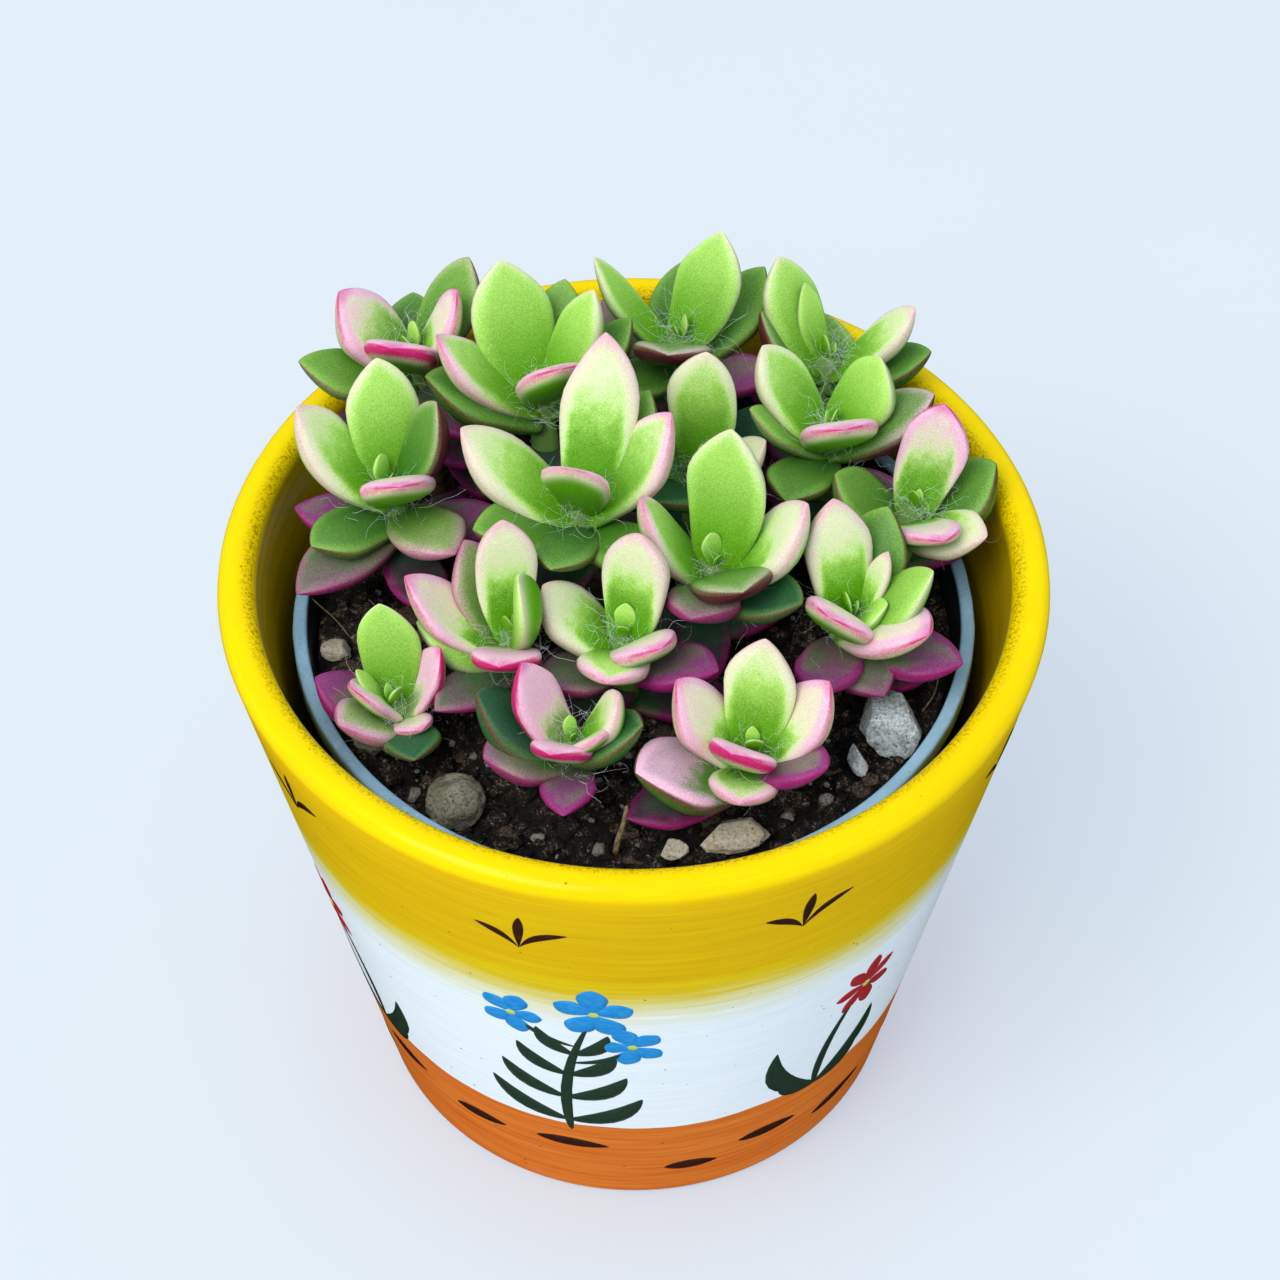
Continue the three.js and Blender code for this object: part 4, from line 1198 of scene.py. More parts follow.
# Each rosette: its heart's place in millimetres, the heading of its newest leaf, how many old
# leaves it has low down, and its leaves as heading and lift in degrees, length, width and look
ROSETTES = {
    "back_left": ((-30, 30, 103), 40, 3, [
        (160, 45, 15, 10.5, "tipped"), (257, 52, 14, 10, "pink"), (190, 24, 17, 9, "dark"),
        (10, 62, 14, 7, "rosy"), (48, 46, 17, 8.5, "brown"), (95, 18, 14, 9, "dark"),
        (315, 10, 14, 8, "purple"),
    ]),
    "left": ((-32.2, 10, 98), 145, 2, [
        (103, 58, 19, 9.8, "lime"), (165, 50, 19, 10, "pale"), (20, 66, 17, 8.5, "brown"),
        (284, 53, 14, 10, "rosy"), (217, 14, 14, 9, "dark"), (225, 0, 18, 9, "dusk"),
        (308, 19, 15, 9.5, "grey"), (175, 5, 14, 8, "purple"), (355, 5, 15, 8, "purple"),
    ]),
    "back": ((-12.5, 22.9, 103), 125, 4, [
        (115, 56, 20, 11.2, "lime"), (35, 62, 18, 8, "lime"), (28, 36, 19, 9, "dark"),
        (75, 38, 18, 9, "dark"), (177, 45, 19, 9, "blushed"), (188, 24, 18, 10, "dark"),
        (293, 60, 14, 9, "rosy"), (105, 12, 16, 9, "dark"),
    ]),
    "middle": ((-6.7, 3.7, 102), 100, 4, [
        (80, 57, 24, 10.2, "cream"), (165, 38, 20.5, 10.5, "pale"), (252, 66, 15, 9, "blushed"),
        (22, 50, 19, 10, "blushed"), (206, 24, 17, 10, "dark"), (252, 20, 13, 8.5, "dark"),
        (315, 20, 14, 9, "dark"), (52, 38, 19, 9, "dark"),
    ]),
    "far_back": ((6.1, 31.7, 104), 20, 4, [
        (57, 57, 17.5, 9.5, "lime"), (165, 50, 18.5, 6, "lime"), (266, 44, 15, 10.5, "brown"),
        (35, 26, 18, 9, "dark"), (222, 22, 13, 8, "dark"), (88, 20, 16, 9, "dark"),
        (135, 14, 15, 8, "dusk"), (345, 12, 14, 8, "purple"),
    ]),
    "inner_back": ((8.7, 13.6, 98), 60, 3, [
        (87, 66, 18, 9.2, "olive"), (150, 48, 13, 8, "dark"), (234, 32, 12, 7.5, "teal"),
        (15, 36, 12, 6.5, "pale"), (52, 24, 15, 8, "teal"), (300, 15, 13, 8, "dark"),
    ]),
    "centre": ((10.5, -4.9, 99), 120, 3, [
        (70, 70, 20.5, 10.6, "lime"), (5, 49, 18, 10, "cream"), (178, 45, 17, 8.5, "blushed"),
        (287, 42, 15, 10, "brown"), (252, 30, 13, 9.5, "dusk"), (325, 20, 15, 9, "teal"),
    ]),
    "back_right": ((26.5, 33, 99), 200, 3, [
        (138, 56, 18, 9, "lime"), (135, 66, 13, 4.5, "fresh"), (170, 44, 14, 7.5, "brown"),
        (0, 48, 17, 7, "pale"), (352, 28, 16, 8, "dark"), (80, 15, 11, 8, "dark"),
    ]),
    "right_back": ((26.2, 18.8, 100), 330, 3, [
        (148, 50, 16.5, 9, "olive"), (30, 60, 14, 9.5, "mint"), (282, 47, 14, 10.3, "rosy"),
        (355, 36, 17, 9.5, "brown"), (247, 18, 14, 9, "dark"), (195, 30, 14, 7, "dark"),
    ]),
    "right": ((36.9, 8, 96), 240, 2, [
        (70, 62, 17, 9, "tipped"), (10, 28, 15, 10.5, "dark"), (335, 30, 14, 9, "pale"),
        (285, 37, 15, 8.5, "rosy"), (165, 40, 13, 9, "dark"), (120, 15, 12, 8, "purple"),
    ]),
    "right_front": ((27.9, -8.9, 94), 200, 1, [
        (115, 68, 18, 9.2, "cream"), (30, 62, 12, 4, "cream"), (335, 54, 9, 6, "fresh"),
        (355, 46, 16, 9, "mint"), (320, 40, 16, 10, "rosy"), (230, 54, 14, 9.8, "rosy"),
        (256, 15, 13.5, 8.5, "purple"), (335, 13, 17, 9, "purple"), (60, 45, 17, 9.5, "dark"),
        (295, 4, 12, 8, "dusk"),
    ]),
    "front_right": ((15, -29.1, 91), 90, 0, [
        (75, 68, 17, 9.2, "pale"), (20, 52, 16, 9, "rosy"), (150, 46, 16, 9, "rosy"),
        (245, 54, 13, 9, "pink"), (263, 30, 12, 8.8, "blushed"), (196, 27, 17.5, 12, "half"),
        (322, 36, 14, 8.5, "purple"), (212, 0, 17, 8, "old"),
    ]),
    "front": ((-7.6, -27.3, 91), 110, 0, [
        (150, 56, 15, 8, "pink"), (0, 62, 12.5, 7, "cream"), (256, 50, 12, 7.5, "pink"),
        (305, 48, 11, 6, "blushed"), (205, 30, 14, 9, "dusk"), (176, 38, 16, 9.5, "teal"),
        (337, 40, 13, 8.5, "teal"), (265, 20, 13, 7.2, "purple"),
    ]),
    "left_centre": ((-15.6, -12.6, 94), 220, 1, [
        (103, 72, 18, 8, "cream"), (165, 40, 18, 8.5, "rosy"), (268, 42, 13, 9, "pink"),
        (0, 66, 15, 8, "mint"), (185, 25, 14, 9, "mint"), (226, 14, 17, 9.5, "dusk"),
        (135, 42, 16, 8.5, "grey"),
    ]),
    "left_front": ((-30.7, -19.4, 89), 140, 0, [
        (88, 62, 15, 8, "mint"), (25, 52, 12, 6.5, "pink"), (185, 62, 10, 3.5, "fresh"),
        (215, 55, 11, 6.5, "rosy"), (220, 20, 13, 9, "grey"), (297, 36, 8, 5.5, "rosy"),
        (279, 26, 12, 8, "teal"), (175, 24, 13, 8, "purple"),
    ]),
    "centre_front": ((-1.2, -13.5, 95), 80, 2, [
        (62, 70, 17, 9.2, "cream"), (170, 44, 14, 9.5, "pale"), (301, 45, 13, 9, "rosy"),
        (258, 35, 13, 9.3, "blushed"), (325, 22, 15, 9, "purple"), (210, 15, 13, 8, "dusk"),
    ]),
}

# The two newest leaves, as lift, length and width, and how far below the crown they grow
HEART_LEAVES = [(80, 6.5, 3.6), (74, 5, 3)]
HEART_DROP = 0.5 * MM
# How much of the room kept for it a heart leaf fills, and how much that varies
HEART_SHRINK = 0.74
HEART_SPREAD = 0.16
# Leaves that stay short between their neighbours: which leaf of a rosette, and how short
SHORT_LEAVES = {("left_centre", 5): 0.87, ("back", 2): 0.92, ("inner_back", 1): 0.92}
# The old leaves: their lift in degrees, length and width
OLD_LIFT = 4
OLD_LENGTH = 13.5
OLD_WIDTH = 8
# How far below the crown the first old leaf grows, how much lower each next one does, and its
# turn in degrees from the one above
OLD_DROP = 10.5 * MM
OLD_STEP = 2.4 * MM
OLD_TURN = 137.5

STEM_FOOT_RADIUS = 2.3 * MM
STEM_CROWN_RADIUS = 1.7 * MM
STEM_SIDES = 14
# How deep a stem's foot lies under the soil's top, how far down from the crown a level leaf
# grows, and how much the stem leans out
STEM_DEPTH = 12 * MM
STEM_SPREAD = 7 * MM
STEM_LEAN = 0.16

# Balls that stand for a leaf while it makes room: along, across and share of its thickness
LEAF_BALLS = np.array([
    (0.38, 0, 0.95), (0.6, -0.5, 0.8), (0.6, 0, 1), (0.6, 0.5, 0.8), (0.82, -0.4, 0.85),
    (0.82, 0.4, 0.85), (0.95, 0, 0.9),
])
# Balls that stand for a stem: how far below its crown
STEM_BALLS = np.array([2, 6, 10, 14]) * MM
# How often the leaves turn, by what share of the push, and the most they turn at once, radians
SETTLE_ROUNDS = 80
SETTLE_SHARE = 0.35
SETTLE_MOST = 0.05
# The gap between rosettes, how far leaves of one rosette may overlap, how far out a leaf may
# reach, and the part of a leaf from which it makes room within its own rosette
CROWD_GAP = 0.5 * MM
FAMILY_OVERLAP = 0.4 * MM
LEAF_REACH = 53.2 * MM
FREE_PART = 0.6
# How bluntly a leaf narrows to its tip while it makes room
SETTLE_TIP_POWER = 0.56
# Keeps a leaf that nothing pushes from a division by 0
TINY = 1e-12


def leaf_fullness(settings, along):
    """Half width along a leaf, as a share of its greatest, for leaves that make room"""
    grown = np.sin(np.pi / 2 * np.minimum(1, along / settings.widest))
    past = np.maximum(0, (along - settings.widest) / (1 - settings.widest))
    swell = settings.root_width + (1 - settings.root_width) * grown
    return np.where(past > 0, (1 - past**2) ** SETTLE_TIP_POWER, swell)


def heading_vector(heading, lift):
    """The direction of a heading and a lift in degrees"""
    h, e = math.radians(heading), math.radians(lift)
    return np.array((math.cos(e) * math.cos(h), math.cos(e) * math.sin(h), math.sin(e)))


class Stem:
    """A rosette's stem, from below the soil to the crown, leaning out from the pot's middle"""

    def __init__(self, soil, crown):
        self.crown = np.array(crown) * MM
        lean = (self.crown[0] * (1 - STEM_LEAN), self.crown[1] * (1 - STEM_LEAN))
        self.foot = np.array((*lean, soil.top - STEM_DEPTH))
        axis = self.crown - self.foot
        self.axis = axis / np.linalg.norm(axis)


class Leaf:
    """A leaf: its rosette, its root, where it points, its size and its look"""

    def __init__(self, rosette, stem, drop, heading, lift, length, width, look):
        self.rosette = rosette
        self.root = stem.crown - stem.axis * drop
        self.heading = math.radians(heading)
        self.pointing = heading_vector(heading, lift)
        self.length = length * MM
        self.width = width * MM
        self.look = LOOKS[look]
        self.shrink = 1


def leaves_of(name, stem):
    """A rosette's leaves: those that show, the two newest and the old ones low down"""
    _, heart, old, rows = ROSETTES[name]
    leaves = []
    for heading, lift, length, width, look in rows:
        drop = STEM_SPREAD * (1 - lift / 90)
        leaves.append(Leaf(name, stem, drop, heading, lift, length, width, look))
    for i, (lift, length, width) in enumerate(HEART_LEAVES):
        leaves.append(Leaf(name, stem, HEART_DROP, heart + 180 * i, lift, length, width, "fresh"))
        leaves[-1].shrink = HEART_SHRINK + HEART_SPREAD * math.sin(3 * heart + 2 * i)
    for i in range(old):
        heading, drop = heart + OLD_TURN * (i + 1), OLD_DROP + OLD_STEP * i
        leaves.append(Leaf(name, stem, drop, heading, OLD_LIFT, OLD_LENGTH, OLD_WIDTH, "old"))
    for (rosette, i), part in SHORT_LEAVES.items():
        if rosette == name:
            leaves[i].shrink = part
    return leaves


def dots(first, second):
    """Row by row dot products, as a column"""
    return np.sum(first * second, axis=-1, keepdims=True)


def unit(rows):
    """Rows brought to length 1"""
    return rows / np.linalg.norm(rows, axis=-1, keepdims=True)


def push_from_pots(settings, at, radius):
    """The push that clears each ball from the pots and the soil"""
    pot, nursery, soil = settings.pot, settings.nursery, settings.soil
    push = np.zeros_like(at)
    x, y, z = at.T
    reach = np.hypot(x, y)
    inward = np.stack([-x / reach, -y / reach, np.zeros_like(x)], axis=1)
    room = radius + CROWD_GAP
    pot_inner = pot_radius(pot, np.minimum(z, pot.height)) - pot.wall
    rim_inner = nursery_inner_radius(nursery, nursery.rim_top)
    for limit, top in ((pot_inner, pot.height), (rim_inner, nursery.rim_top)):
        over = reach - (limit - room)
        under = top + room - z
        caught = (over > 0) & (under > 0)
        push += inward * np.where(caught & (over < under), over, 0)[:, None]
        push[:, 2] += np.where(caught & (over >= under), under, 0)
    past = reach + radius - LEAF_REACH
    push += inward * np.maximum(past, 0)[:, None]
    heights = np.array([soil_height(soil, a, b) for a, b in zip(x, y)])
    push[:, 2] += np.maximum(heights + room - z, 0)
    return push


def fixed_balls(stems, rosettes):
    """Balls that don't move, for the stems and the stones: their middles, their radii and the
    numbers of their rosettes, which are -1 for the stones"""
    balls = [
        (stem.crown - stem.axis * below, STEM_FOOT_RADIUS, rosettes.index(name))
        for name, stem in stems.items() for below in STEM_BALLS
    ]
    for at, half, *_ in STONES.values():
        balls.append((np.array(at) * MM, (half[0] + half[2]) / 2 * MM, -1))
    return [np.array(column) for column in zip(*balls)]


def settle(settings, leaves, stems):
    """Crowded leaves turn away from each other, from the stones, the soil and the pots"""
    shape = settings.leaves
    along, across, portion = LEAF_BALLS.T
    full = leaf_fullness(shape, along)
    root = np.array([leaf.root for leaf in leaves])
    pointing = np.array([leaf.pointing for leaf in leaves])
    length = np.array([leaf.length for leaf in leaves])[:, None]
    width = np.array([leaf.width for leaf in leaves])[:, None]
    level = np.array([(-math.sin(leaf.heading), math.cos(leaf.heading), 0) for leaf in leaves])
    radius = (portion * (shape.rise + shape.depth) / 2 * width * full).ravel()

    per_leaf = len(LEAF_BALLS)
    owner = np.repeat(np.arange(len(leaves)), per_leaf)
    rosettes = sorted(ROSETTES)
    clan = np.array([rosettes.index(leaf.rosette) for leaf in leaves])[owner]
    free = np.tile(along, len(leaves)) >= FREE_PART
    family = clan[:, None] == clan[None, :]
    room = radius[:, None] + radius[None, :] + np.where(family, -FAMILY_OVERLAP, CROWD_GAP)
    meets = (owner[:, None] < owner[None, :]) & ~(family & ~(free[:, None] & free[None, :]))
    room = np.where(meets, room, 0)

    fixed_at, fixed_radius, fixed_clan = fixed_balls(stems, rosettes)
    fixed_room = radius[:, None] + fixed_radius + CROWD_GAP
    fixed_room[clan[:, None] == fixed_clan] = 0

    for _ in range(SETTLE_ROUNDS):
        side = unit(level - pointing * dots(level, pointing))
        up = np.cross(pointing, side)
        arch = -shape.arch * length * 4 * along * (1 - along)
        lifted = arch + (shape.rise - shape.depth) / 2 * width * full
        at = root[:, None] + pointing[:, None] * (length * along)[..., None]
        at = at + side[:, None] * (across * width / 2 * full)[..., None]
        at = (at + up[:, None] * lifted[..., None]).reshape(-1, 3)
        push = push_from_pots(settings, at, radius)

        squared = np.sum(at * at, axis=1)
        apart = squared[:, None] + squared[None, :] - 2 * at @ at.T
        first, second = np.nonzero(apart < room**2)
        between = at[first] - at[second]
        distance = np.linalg.norm(between, axis=1)
        half = between * ((room[first, second] - distance) / 2 / distance)[:, None]
        np.add.at(push, first, half)
        np.add.at(push, second, -half)

        between = at[:, None] - fixed_at[None]
        distance = np.linalg.norm(between, axis=2)
        close = np.maximum(fixed_room - distance, 0) / distance
        push += np.sum(between * close[..., None], axis=1)

        turn = push.reshape(len(leaves), per_leaf, 3) * SETTLE_SHARE
        turn = np.sum(turn / (length * along)[..., None], axis=1)
        most = np.linalg.norm(turn, axis=1, keepdims=True)
        turn = turn * np.minimum(1, SETTLE_MOST / np.maximum(most, TINY))
        pointing = unit(pointing + turn)
    for leaf, way in zip(leaves, pointing):
        leaf.pointing = way


# How a finished leaf departs from the plain one that makes room. Its tip is drawn out, by more or
# less, and its section is fuller.
TIP_DRAWN = (1.5, 2.1)
TIP_POWER = 0.82
SECTION_FULL = 0.86
UPPER_SWELL = 0.04
# Its root is broader, and closes over this share of the length
ROOT_BROAD = 0.16
ROOT_CLOSE = 0.03
# Its margins waver by a share of its width, this many radians along its length
RIPPLE = 0.04
RIPPLES = 9
# The range of each leaf's own bend as a share of its length, twist in degrees, swell of the under
# side, groove of the upper one, and fuller half
BENDS = (-0.04, 0.04)
TWISTS = (-9, 9)
SWELLS = (0.94, 1.06)
GROOVES = (0.0, 0.11)
FULLER_HALVES = (-0.07, 0.07)
# The range of each leaf's change of shade and of cream
SHADE_SHIFTS = (-0.07, 0.07)
CREAM_SHIFTS = (-0.1, 0.1)
# How much the leaves in front arch the other way, and how much thinner they are below
FRONT_ARCH = 1.9
FRONT_THIN = 0.3
# Faces round a leaf and along it
LEAF_SIDES = 26
LEAF_ROWS = 20


def grow_leaf(bm, leaf, settings, chance):
    """One leaf: a pointed, plump blade with a crisp margin, bowed a little to one side"""
    level = np.array((-math.sin(leaf.heading), math.cos(leaf.heading), 0))
    side = unit(level - leaf.pointing * np.dot(level, leaf.pointing))
    up = np.cross(leaf.pointing, side)
    root, pointing, side, up = (Vector(v) for v in (leaf.root, leaf.pointing, side, up))
    length, width = leaf.length * leaf.shrink, leaf.width * leaf.shrink**2
    bend = chance.uniform(*BENDS) * length
    twist = math.radians(chance.uniform(*TWISTS))
    swell = chance.uniform(*SWELLS)
    groove = chance.uniform(*GROOVES)
    # Leaves that point to the front spread at their tips, and the others curve inwards
    frontward = max(0, -math.sin(leaf.heading)) ** 0.7
    arch = settings.arch * (1 - FRONT_ARCH * frontward)
    drawn = chance.uniform(*TIP_DRAWN)
    fuller, wave = chance.uniform(*FULLER_HALVES), chance.uniform(0, 2 * math.pi)
    shade, cream, blush, wine, under, lean = leaf.look
    shade += chance.uniform(*SHADE_SHIFTS)
    cream += chance.uniform(*CREAM_SHIFTS)

    def half_width(along):
        if along < settings.widest:
            grown = math.sin(math.pi / 2 * along / settings.widest)
            closed = math.sqrt(max(0, 1 - max(0, 1 - along / ROOT_CLOSE) ** 2))
            narrow = settings.root_width + ROOT_BROAD
            return closed * (narrow + (1 - narrow) * grown)
        past = min(1, (along - settings.widest) / (1 - settings.widest))
        return (1 - past**drawn) ** TIP_POWER

    def place(along, across, rise):
        full = half_width(along)
        turn = twist * (along - 0.3)
        if rise > 0:
            high = (settings.rise + UPPER_SWELL) * rise**SECTION_FULL
            high -= groove * rise**3 * math.sin(math.pi * along)
        else:
            high = -settings.depth * swell * abs(rise) ** SECTION_FULL
            high *= 1 - FRONT_THIN * frontward
        wide = width / 2 * full * math.copysign(abs(across) ** SECTION_FULL, across)
        wide *= 1 + across * (fuller + RIPPLE * math.sin(RIPPLES * along + wave))
        high *= width * full
        wide, high = (
            wide * math.cos(turn) - high * math.sin(turn),
            wide * math.sin(turn) + high * math.cos(turn),
        )
        high -= arch * length * 4 * along * (1 - along)
        wide += bend * 3 * along**2 * (1.35 - along)
        return root + pointing * length * along + side * wide + up * high

    tags = [("leaf_tint", (shade, cream, blush)), ("leaf_wear", (wine, under, lean))]
    blob(bm, LEAF_SIDES, LEAF_ROWS, place, tags)


def leaf_flesh(leaves):
    """Green flesh that pales to cream from its margins and tip, blushed pink, wine when old"""
    finish = Finish(
        "leaf_flesh", Specular_IOR_Level=0.28, Subsurface_Weight=0.1, Subsurface_Scale=1.2 * MM
    )
    finish.shader.inputs["Subsurface Radius"].default_value = (1, 0.7, 0.35)
    place = finish.place()
    along, across, face = finish.attribute("spot")
    shade, cream, blush = finish.attribute("leaf_tint")
    wine, under, lean = finish.attribute("leaf_wear")

    grain = finish.cloud(place, 0.24 * MM, 2, 0.6)
    speckle = finish.cloud(place, 0.12 * MM, 2, 0.6)
    patch = finish.cloud(place, 4 * MM, 2)
    drift = finish.cloud(place, 1.6 * MM, 2)

    # How far in from the margin a point lies, as a share of the leaf's greatest half width
    past = ((along - leaves.widest) * (1 / (1 - leaves.widest))).capped()
    full = (1 - past**1.8) ** TIP_POWER
    inset = (1 - abs(across)) * full
    edge = inset.ramp(0.5, 0.0)
    tipward = along.ramp(0.12, 0.92)
    off_root = along.ramp(0.0, 0.35)

    greens = [(0.0, leaves.fresh), (0.35, leaves.green), (0.72, leaves.dark), (1.0, leaves.deep)]
    mottle = (patch - 0.5) * 0.2 + (grain - 0.5) * 0.2
    green = finish.stops((shade + mottle).capped(), greens)
    thin = (tipward * (0.9 - shade) * 1.4 + edge * 0.2) * (1 - cream.capped() * 0.6)
    green = finish.blend(thin.capped(), green, leaves.mint)
    bare = cream * (edge * off_root * 0.7 + tipward * 0.95 + across * lean * 0.5)
    bare = (bare + cream * (drift - 0.5) * 0.35 + (grain - 0.5) * 0.12).ramp(0.12, 0.95)
    dim = shade.ramp(0.5, 0.75)
    top = finish.blend((bare * 1.6).capped(), green, finish.blend(dim, leaves.mint, leaves.dusk))
    top = finish.blend(bare.ramp(0.3, 1.0), top, finish.blend(dim, leaves.cream, leaves.dusk))

    rosiness = blush * (edge * (0.3 + tipward) * 0.75 + tipward * 0.5)
    rosiness = rosiness + blush * (drift - 0.5) * 0.4 + (blush - 0.85).capped() * 1.3
    rosiness = rosiness.ramp(0.1, 0.95)
    top = finish.blend(rosiness * (0.3 + bare * 0.7), top, leaves.blossom)
    tip = (along + (drift - 0.5) * 0.12).ramp(0.86, 1.0) * blush.capped() * (1 - dim)
    top = finish.blend(tip * 0.85, top, leaves.tip)
    rim = inset.ramp(0.07, 0.0) * off_root
    flushed = (blush * (0.3 + past * 1.1 + (drift - 0.5) * 1.2) - 0.1).capped()
    rim_tone = finish.blend(flushed, finish.blend(blush.capped(), leaves.cream, leaves.blossom),
                       leaves.magenta)
    rust = linear(104, 70, 48)
    rim_tone = finish.blend(dim, rim_tone, rust)
    edging = rim * (0.25 + blush * 0.35 + past * 0.4 + dim * 0.4)
    top = finish.blend(edging.capped(), top, rim_tone)

    # The under side is green, with a tinted band below its margin that may reach the keel
    deep = 0 - face * full + (grain - 0.5) * 0.35 + (speckle - 0.5) * 0.35
    reach = under * 0.46
    band = (1 - (deep - reach).ramp(-0.25, 0.2)) * along.ramp(0.05, 0.5)
    pale_band = (1 - (deep - reach).ramp(-0.1, 0.45)) * along.ramp(0.0, 0.5) * (1 - dim)
    below = finish.stops((shade * 0.9).capped(), greens)
    below = finish.blend(pale_band * (0.35 + bare * 0.5), below, leaves.cream)
    strong = (blush * 0.8 + (speckle - 0.5) * 0.5).capped()
    tint = finish.blend(dim, finish.blend(strong, leaves.blossom, leaves.magenta), leaves.maroon)
    below = finish.blend((band * (0.45 + under * 0.45)).capped(), below, tint)
    base = finish.blend(face.ramp(0.08, -0.12), top, below)

    aged = (wine * (0.3 + tipward * 0.5 + edge * 0.6 + (patch - 0.5) * 1.6)).capped()
    shaded_wine, bright_margin = linear(70, 30, 62), linear(160, 30, 112)
    # Painted shade: old leaves with the darkest look, low in the rosette, turn a darker wine
    shaded_old = finish.blend(shade.ramp(0.84, 1.0), leaves.wine, shaded_wine)
    brightness = (rim * 0.6 + edge * 0.4 + (drift - 0.5) * 0.6).capped()
    old = finish.blend(brightness, shaded_old, bright_margin)
    base = finish.blend(aged, base, old)

    grey, light = linear(90, 90, 90), linear(252, 255, 250)
    glint = finish.blend(((speckle + grain - 1) * 1.8 + 0.5).capped(), grey, light)
    base = finish.blend(0.48, base, glint, "SOFT_LIGHT")
    finish.bump(grain * 0.6 + speckle * 0.4, 0.06 * MM, 0.6)
    return finish.paint(base, grain * 0.22 + 0.3)


# Depths below the crown between which a stem turns from old to young
YOUNG_DEPTHS = (16 * MM, 8 * MM)


def stem_bark(leaves, crown_height):
    """A stem that is green among the leaves, and below them brown and ringed by old scars"""
    finish = Finish("stem_bark", roughness=0.7)
    place = finish.place()
    ring = finish.cloud(finish.stretched(place, (0.4, 0.4, 1.8)), 1.1 * MM, 3, 0.6)
    _, _, z = finish.split(place)
    reddish, young_green = linear(92, 44, 52), linear(104, 146, 62)
    brown = finish.blend(ring.ramp(0.4, 0.65), leaves.stem, reddish)
    wavering = z + (ring - 0.5) * (3 * MM)
    young = wavering.ramp(*(crown_height - depth for depth in YOUNG_DEPTHS))
    base = finish.blend(young, brown, young_green)
    finish.bump(ring, 0.2 * MM, 0.8)
    return finish.paint(base)


def grow_stem(bm, stem):
    """The stem as a tapered round bar"""
    axis = Vector(stem.axis)
    length = (stem.crown - stem.foot).dot(stem.axis)
    made = bmesh.ops.create_cone(
        bm, cap_ends=True, segments=STEM_SIDES, radius1=STEM_FOOT_RADIUS,
        radius2=STEM_CROWN_RADIUS, depth=length,
        matrix=Matrix.Translation(Vector(stem.foot) + axis * length / 2) @ turned_to(axis),
    )
    for face in {face for vertex in made["verts"] for face in vertex.link_faces}:
        face.material_index = 1


class SANDROSE_OT_rosettes(bpy.types.Operator):
    """Grow the sixteen rosettes, each a stem with its leaves"""

    bl_idname = "sand_rose.rosettes"
    bl_label = "Rosettes"

    def execute(self, context):
        settings = context.scene.sand_rose
        stems = {name: Stem(settings.soil, row[0]) for name, row in ROSETTES.items()}
        foliage = {name: leaves_of(name, stem) for name, stem in stems.items()}
        settle(settings, [leaf for leaves in foliage.values() for leaf in leaves], stems)
        flesh = leaf_flesh(settings.leaves)
        chance = Random(LEAF_SEED)
        for name, leaves in foliage.items():
            bm = bmesh.new()
            for leaf in leaves:
                grow_leaf(bm, leaf, settings.leaves, chance)
            grow_stem(bm, stems[name])
            bmesh.ops.recalc_face_normals(bm, faces=bm.faces)
            bark = stem_bark(settings.leaves, stems[name].crown[2])
            finished("leaves_" + name, bm, [flesh, bark], ["rosette_" + name])
        return {"FINISHED"}


# Hairs

# How far round the heart hairs start, and from how far below it to how far above
HAIR_SPREAD = 2.2 * MM
HAIR_FEET = (-3.5 * MM, 1.5 * MM)
# How steeply a hair sets out, how often it turns and how much, and between which shares of the
# mean its length lies
HAIR_CLIMB = (-0.1, 0.9)
HAIR_BENDS = 4
HAIR_CURL = 0.7
HAIR_LENGTHS = (0.5, 1.4)
# Faces round a hair, and along it between two of its bends
HAIR_SIDES = 3
HAIR_ROWS = 3


def hair_route(chance, stem, length):
    """A wavering line that starts at the heart, climbs and curls away"""
    angle = chance.uniform(0, 2 * math.pi)
    climb = chance.uniform(*HAIR_CLIMB)
    heading = Vector((math.cos(angle), math.sin(angle), climb)).normalized()
    points = [Vector(stem.crown) + Vector((
        chance.gauss(0, HAIR_SPREAD), chance.gauss(0, HAIR_SPREAD),
        chance.uniform(*HAIR_FEET),
    ))]
    for _ in range(HAIR_BENDS):
        curl = Vector((chance.gauss(0, 1), chance.gauss(0, 1), chance.gauss(0.05, 0.7)))
        heading = (heading + curl * HAIR_CURL).normalized()
        points.append(points[-1] + heading * length / HAIR_BENDS)
    return points


class SANDROSE_OT_hairs(bpy.types.Operator):
    """Add the cobweb of fine white hairs at each rosette's heart"""

    bl_idname = "sand_rose.hairs"
    bl_label = "Hairs"

    def execute(self, context):
        settings = context.scene.sand_rose
        hairs = settings.hairs
        chance = Random(SEED)
        bm = bmesh.new()
        for crown, *_ in ROSETTES.values():
            stem = Stem(settings.soil, crown)
            for _ in range(hairs.count):
                length = hairs.length * chance.uniform(*HAIR_LENGTHS)
                route = hair_route(chance, stem, length)
                radius = hairs.thickness / 2
                fibre(bm, route, radius, radius / 2, HAIR_SIDES, HAIR_ROWS)
        bmesh.ops.recalc_face_normals(bm, faces=bm.faces)
        finish = Finish("white_hair", roughness=0.6)
        sheen = finish.cloud(finish.place(), 1.5 * MM, 2)
        silk = finish.blend(sheen, hairs.white, linear(250, 253, 250))
        finished("heart_hairs", bm, [finish.paint(silk)])
        return {"FINISHED"}


# Stage

# Half the floor's side, in metres
FLOOR_HALF = 4
# The lamp's place and width in metres, and the tint of its light
KEY_PLACE = (-1.0, -1.1, 2.1)
KEY_WIDTH = 1.5
KEY_TINT = (1.0, 0.965, 0.91)
# The camera's sensor in millimetres, and its nearest and farthest sight in metres
SENSOR_WIDTH = 36
NEAREST = 0.01
FARTHEST = 20


